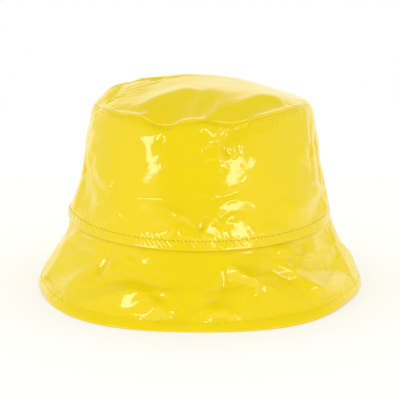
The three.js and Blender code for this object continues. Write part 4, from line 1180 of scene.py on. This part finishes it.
def pale_floor(settings):
    """A matt white floor with a very faint unevenness. A share of its brightness is its own, as on
    a lit table, which keeps the shadows pale."""
    look, nodes = new_look("pale_floor")
    lit = 1 - settings.floor_glow
    uneven = nodes.noise(nodes.object_place(), FLOOR_CLOUDS_PER_METRE)
    nodes.finish({
        "Base Color": nodes.tones(uneven, settings.floor_colour, *(tone * lit for tone in FLOOR_TONES)),
        "Roughness": 0.9,
        "Specular IOR Level": 0.1,
        "Emission Color": shaded(settings.floor_colour, 1.0),
        "Emission Strength": settings.floor_glow,
    })
    return look


def studio_world(settings):
    """White to the camera, and soft light for matt cloth. In reflections it is a room with pale
    walls beside and behind the hat, a dark wall in front of it and a dark ceiling."""
    world = bpy.data.worlds.new("studio")
    world.use_nodes = True
    world.cycles.sampling_method = "NONE"
    bpy.context.scene.world = world
    nodes = Nodes(world.node_tree)
    way = nodes.add("ShaderNodeTexCoord").outputs["Generated"]
    _, y, z = nodes.add("ShaderNodeSeparateXYZ", {0: way}).outputs
    flat = nodes.math("SQRT", nodes.math("SUBTRACT", 1.0, nodes.math("MULTIPLY", z, z)))
    behind = nodes.math("DIVIDE", y, flat)
    wall = nodes.ramp(behind, *FRONT_WALL_ENDS, settings.front_wall, settings.side_walls)
    room = nodes.blend(settings.ceiling, wall, nodes.ramp(z, *CEILING_STARTS, 1.0, 0.0))
    below_top = nodes.ramp(z, *BACKDROP_TOP, 1.0, 0.0)
    backdrop = nodes.math("MULTIPLY", nodes.ramp(behind, *BACKDROP_STARTS), below_top)
    mirrored = nodes.blend(room, settings.backdrop, backdrop)
    ahead = nodes.math("MULTIPLY", y, -settings.light_ahead)
    above = nodes.math("MULTIPLY", z, settings.light_above)
    matt = nodes.math("ADD", nodes.math("ADD", ahead, above), settings.soft_light)
    rays = nodes.add("ShaderNodeLightPath").outputs
    lit = nodes.blend(matt, mirrored, rays["Is Glossy Ray"])
    strength = nodes.blend(lit, 1.0, rays["Is Camera Ray"])
    sky = nodes.add("ShaderNodeBackground", {"Color": (1.0, 1.0, 1.0, 1.0), "Strength": strength})
    nodes.add("ShaderNodeOutputWorld", {"Surface": sky.outputs[0]})


def add_softbox(name, azimuth, width, radiance):
    """A standing softbox at an azimuth from the camera's side, turned to the hat."""
    light = bpy.data.lights.new(name, "AREA")
    light.shape = "RECTANGLE"
    light.size = 2 * SOFTBOX_DISTANCE * np.tan(np.radians(width / 2))
    bottom, top = (SOFTBOX_DISTANCE * np.tan(np.radians(height)) for height in SOFTBOX_HEIGHTS)
    light.size_y = top - bottom
    light.energy = radiance * np.pi * light.size * light.size_y  # a plane's power at this radiance
    lamp = bpy.data.objects.new(name, light)
    turn = np.radians(azimuth)
    middle = HAT_MIDDLE + (bottom + top) / 2
    lamp.location = (SOFTBOX_DISTANCE * np.sin(turn), -SOFTBOX_DISTANCE * np.cos(turn), middle)
    lamp.rotation_euler = (np.pi / 2, 0, turn)
    bpy.context.scene.collection.objects.link(lamp)


def add_camera():
    """The photograph's view: 15 degrees above the floor from 1.5 m, with a long lens."""
    data = bpy.data.cameras.new("camera")
    data.sensor_width = CAMERA_SENSOR
    data.lens = CAMERA_LENS
    camera = bpy.data.objects.new("camera", data)
    camera.location = CAMERA_PLACE
    camera.rotation_euler = (np.radians(90 - CAMERA_TILT), 0, 0)
    bpy.context.scene.collection.objects.link(camera)
    bpy.context.scene.camera = camera


def add_floor(settings):
    """A round floor of even rings, flat at z = 0."""
    radius = settings.floor_radius / MM
    angle = np.radians(angle_columns(FLOOR_COLUMNS, crowding=0.0))[None]
    reach = column(np.linspace(0, radius, FLOOR_RINGS + 1)[1:])
    points = np.stack(np.broadcast_arrays(reach * np.sin(angle), -reach * np.cos(angle), 0.0), -1)
    rows, columns = points.shape[:2]
    first = np.arange(columns)
    cap = np.stack([np.full(columns, rows * columns), first, np.roll(first, -1)], -1)
    floor = add_piece(
        "floor", np.concatenate([points.reshape(-1, 3), np.zeros((1, 3))]),
        shell_faces(rows, columns)[:, ::-1], [pale_floor(settings)], triangles=cap,
    )


class ClothSettings(bpy.types.PropertyGroup):
    """Colours and finish of the cloth."""

    cloth_colour: bpy.props.FloatVectorProperty(
        name="Cloth Colour", description="Colour under the clear coat", subtype="COLOR",
        size=3, min=0, max=1, default=(0.875, 0.668, 0.003),
    )
    base_roughness: bpy.props.FloatProperty(
        name="Base Roughness", description="Roughness of the coloured layer", subtype="FACTOR",
        min=0, max=1, default=0.5,
    )
    coat_roughness: bpy.props.FloatProperty(
        name="Coat Roughness", description="Roughness of the clear coat", subtype="FACTOR",
        min=0, max=1, default=0.09,
    )
    back_colour: bpy.props.FloatVectorProperty(
        name="Back Colour", description="Colour of the uncoated back", subtype="COLOR",
        size=3, min=0, max=1, default=(0.80, 0.62, 0.12),
    )
    weave_pitch: bpy.props.FloatProperty(
        name="Weave Pitch", description="Distance over which the back's weave repeats", unit="LENGTH",
        min=0.0002, default=0.0011, precision=5,
    )


class StitchSettings(bpy.types.PropertyGroup):
    """Thread and stitch sizes."""

    thread_colour: bpy.props.FloatVectorProperty(
        name="Thread Colour", description="Colour of the sewing thread", subtype="COLOR",
        size=3, min=0, max=1, default=(1.0, 0.79, 0.012),
    )
    stitch_length: bpy.props.FloatProperty(
        name="Stitch Length", description="Length of thread that shows in one stitch", unit="LENGTH",
        min=0.0005, default=0.0018, precision=4,
    )
    thread_thickness: bpy.props.FloatProperty(
        name="Thread Thickness", description="Thickness of the sewing thread", unit="LENGTH",
        min=0.0001, default=0.0004, precision=5,
    )
    stitch_pitch: bpy.props.FloatProperty(
        name="Stitch Pitch", description="Distance from one stitch to the next", unit="LENGTH",
        min=0.001, default=0.0028, precision=4,
    )
    hole_size: bpy.props.FloatProperty(
        name="Hole Size", description="Width of a needle hole", unit="LENGTH",
        min=0.0001, default=0.00095, precision=5,
    )
    # Painted shade: the dark colour of the hexagon that stands for the shade inside a needle hole.
    hole_colour: bpy.props.FloatVectorProperty(
        name="Hole Colour", description="Colour inside a needle hole", subtype="COLOR",
        size=3, min=0, max=1, default=(0.42, 0.28, 0.002),
    )


class StageSettings(bpy.types.PropertyGroup):
    """Floor and studio light."""

    floor_colour: bpy.props.FloatVectorProperty(
        name="Floor Colour", description="Colour of the matt floor", subtype="COLOR",
        size=3, min=0, max=1, default=(1.0, 0.996, 0.982),
    )
    floor_radius: bpy.props.FloatProperty(
        name="Floor Radius", description="Half width of the round floor", unit="LENGTH",
        min=0.3, default=0.6,
    )
    floor_glow: bpy.props.FloatProperty(
        name="Floor Glow", description="Share of the floor's brightness that is its own light",
        subtype="FACTOR", min=0, max=1, default=0.3,
    )
    soft_light: bpy.props.FloatProperty(
        name="Soft Light", description="Strength of the soft light on matt surfaces", min=0, default=0.9,
    )
    light_ahead: bpy.props.FloatProperty(
        name="Light Ahead", description="How much stronger the soft light is from the camera's side",
        default=-0.2,
    )
    light_above: bpy.props.FloatProperty(
        name="Light Above", description="How much stronger the soft light is from above", default=0.2,
    )
    front_wall: bpy.props.FloatProperty(
        name="Front Wall", description="Strength in reflections of the wall behind the camera",
        min=0, default=0.14,
    )
    side_walls: bpy.props.FloatProperty(
        name="Side Walls", description="Strength in reflections of the walls beside the hat",
        min=0, default=0.62,
    )
    backdrop: bpy.props.FloatProperty(
        name="Backdrop", description="Strength in reflections of the backdrop", min=0, default=1.1,
    )
    ceiling: bpy.props.FloatProperty(
        name="Ceiling", description="Strength in reflections of the ceiling", min=0, default=0.15,
    )
    softbox: bpy.props.FloatProperty(
        name="Softbox", description="Strength of the two standing softboxes", min=0, default=6.5,
    )


class RAINHAT_OT_top(bpy.types.Operator):
    """Build the top of the crown"""

    bl_idname = "rainhat.top"
    bl_label = "Crown Top"

    def execute(self, context):
        piece = build_top(cloth_looks(context))
        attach(piece, "root")
        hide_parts("crown_top")
        return {"FINISHED"}


class RAINHAT_OT_side(bpy.types.Operator):
    """Build the side of the crown"""

    bl_idname = "rainhat.side"
    bl_label = "Crown Side"

    def execute(self, context):
        piece = build_side(cloth_looks(context))
        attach(piece, "root")
        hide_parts("crown_side")
        return {"FINISHED"}


class RAINHAT_OT_brim(bpy.types.Operator):
    """Build the brim with its collar"""

    bl_idname = "rainhat.brim"
    bl_label = "Brim"

    def execute(self, context):
        piece = build_brim(cloth_looks(context)[:1])
        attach(piece, "root")
        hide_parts("brim")
        return {"FINISHED"}


class RAINHAT_OT_stitches(bpy.types.Operator):
    """Lay the rows of stitches on the cloth"""

    bl_idname = "rainhat.stitches"
    bl_label = "Stitches"

    def execute(self, context):
        settings = context.scene.rain_hat_stitches
        # The thread, and the painted shade of the needle holes.
        looks = [look_named(maker, settings) for maker in (sewing_thread, needle_hole_shade)]
        for name, surface, way, width, hole_share in STITCH_ROWS:
            count = int(2 * np.pi * SEAM * width * MM / settings.stitch_pitch)
            piece = build_stitches(name, surface, way, count, hole_share, settings, looks)
            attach(piece, "root")
        return {"FINISHED"}


class RAINHAT_OT_stage(bpy.types.Operator):
    """Set up the floor, the studio light and the camera"""

    bl_idname = "rainhat.stage"
    bl_label = "Stage"

    def execute(self, context):
        settings = context.scene.rain_hat_stage
        studio_world(settings)
        add_floor(settings)
        for name, azimuth, width in SOFTBOXES:
            add_softbox(name, azimuth, width, settings.softbox)
        add_camera()
        context.scene.view_settings.view_transform = "Standard"
        return {"FINISHED"}


def look_named(maker, settings):
    """The material that a function makes, which has the function's name, made at its first use."""
    return bpy.data.materials.get(maker.__name__) or maker(settings)


def cloth_looks(context):
    """The cloth's coated face and its back."""
    return [look_named(maker, context.scene.rain_hat_cloth) for maker in (glossy_coating, cloth_back)]


class RAINHAT_PT_panel(bpy.types.Panel):
    """Lists the hat's settings and the steps that build it"""

    bl_idname = "RAINHAT_PT_panel"
    bl_label = "Rain Bucket Hat"
    bl_space_type = "VIEW_3D"
    bl_region_type = "UI"
    bl_category = "Rain Hat"

    def draw(self, context):
        for group in SETTING_GROUPS:
            box = self.layout.box()
            settings = getattr(context.scene, group)
            for name in settings.__annotations__:
                box.prop(settings, name)
        for operator in OPERATORS:
            self.layout.operator(operator.bl_idname)


# Rows of stitches: name, surface, way on it, half width over that at the brim's seam, and how wide
# the needle holes' dark hexagons of painted shade are for the hole size.
STITCH_ROWS = (
    ("hem_stitches", side_surface, HEM_ROW, 0.99, 1.1),
    ("top_seam_stitches", side_surface, SIDE_LINE.length - TOP_ROW, 0.84, 0.6),
    ("brim_edge_stitches", brim_surface, EDGE_ROW, 1.22, 0.5),
)

OPERATORS = (RAINHAT_OT_top, RAINHAT_OT_side, RAINHAT_OT_brim, RAINHAT_OT_stitches, RAINHAT_OT_stage)
SETTING_GROUPS = {
    "rain_hat_cloth": ClothSettings,
    "rain_hat_stitches": StitchSettings,
    "rain_hat_stage": StageSettings,
}


def register():
    """Registers the classes, and gives each scene the settings."""
    for settings in SETTING_GROUPS.values():
        bpy.utils.register_class(settings)
    for name, settings in SETTING_GROUPS.items():
        setattr(bpy.types.Scene, name, bpy.props.PointerProperty(type=settings))
    for shown in (*OPERATORS, RAINHAT_PT_panel):
        bpy.utils.register_class(shown)


def unregister():
    """Takes the settings and the classes away again."""
    for shown in reversed((*OPERATORS, RAINHAT_PT_panel)):
        bpy.utils.unregister_class(shown)
    for name in SETTING_GROUPS:
        delattr(bpy.types.Scene, name)
    for settings in reversed(SETTING_GROUPS.values()):
        bpy.utils.unregister_class(settings)


def main():
    """Builds every piece and the stage."""
    register()
    steps = bpy.ops.rainhat
    for step in (steps.top, steps.side, steps.brim, steps.stitches, steps.stage):
        step()


if __name__ == "__main__":
    main()
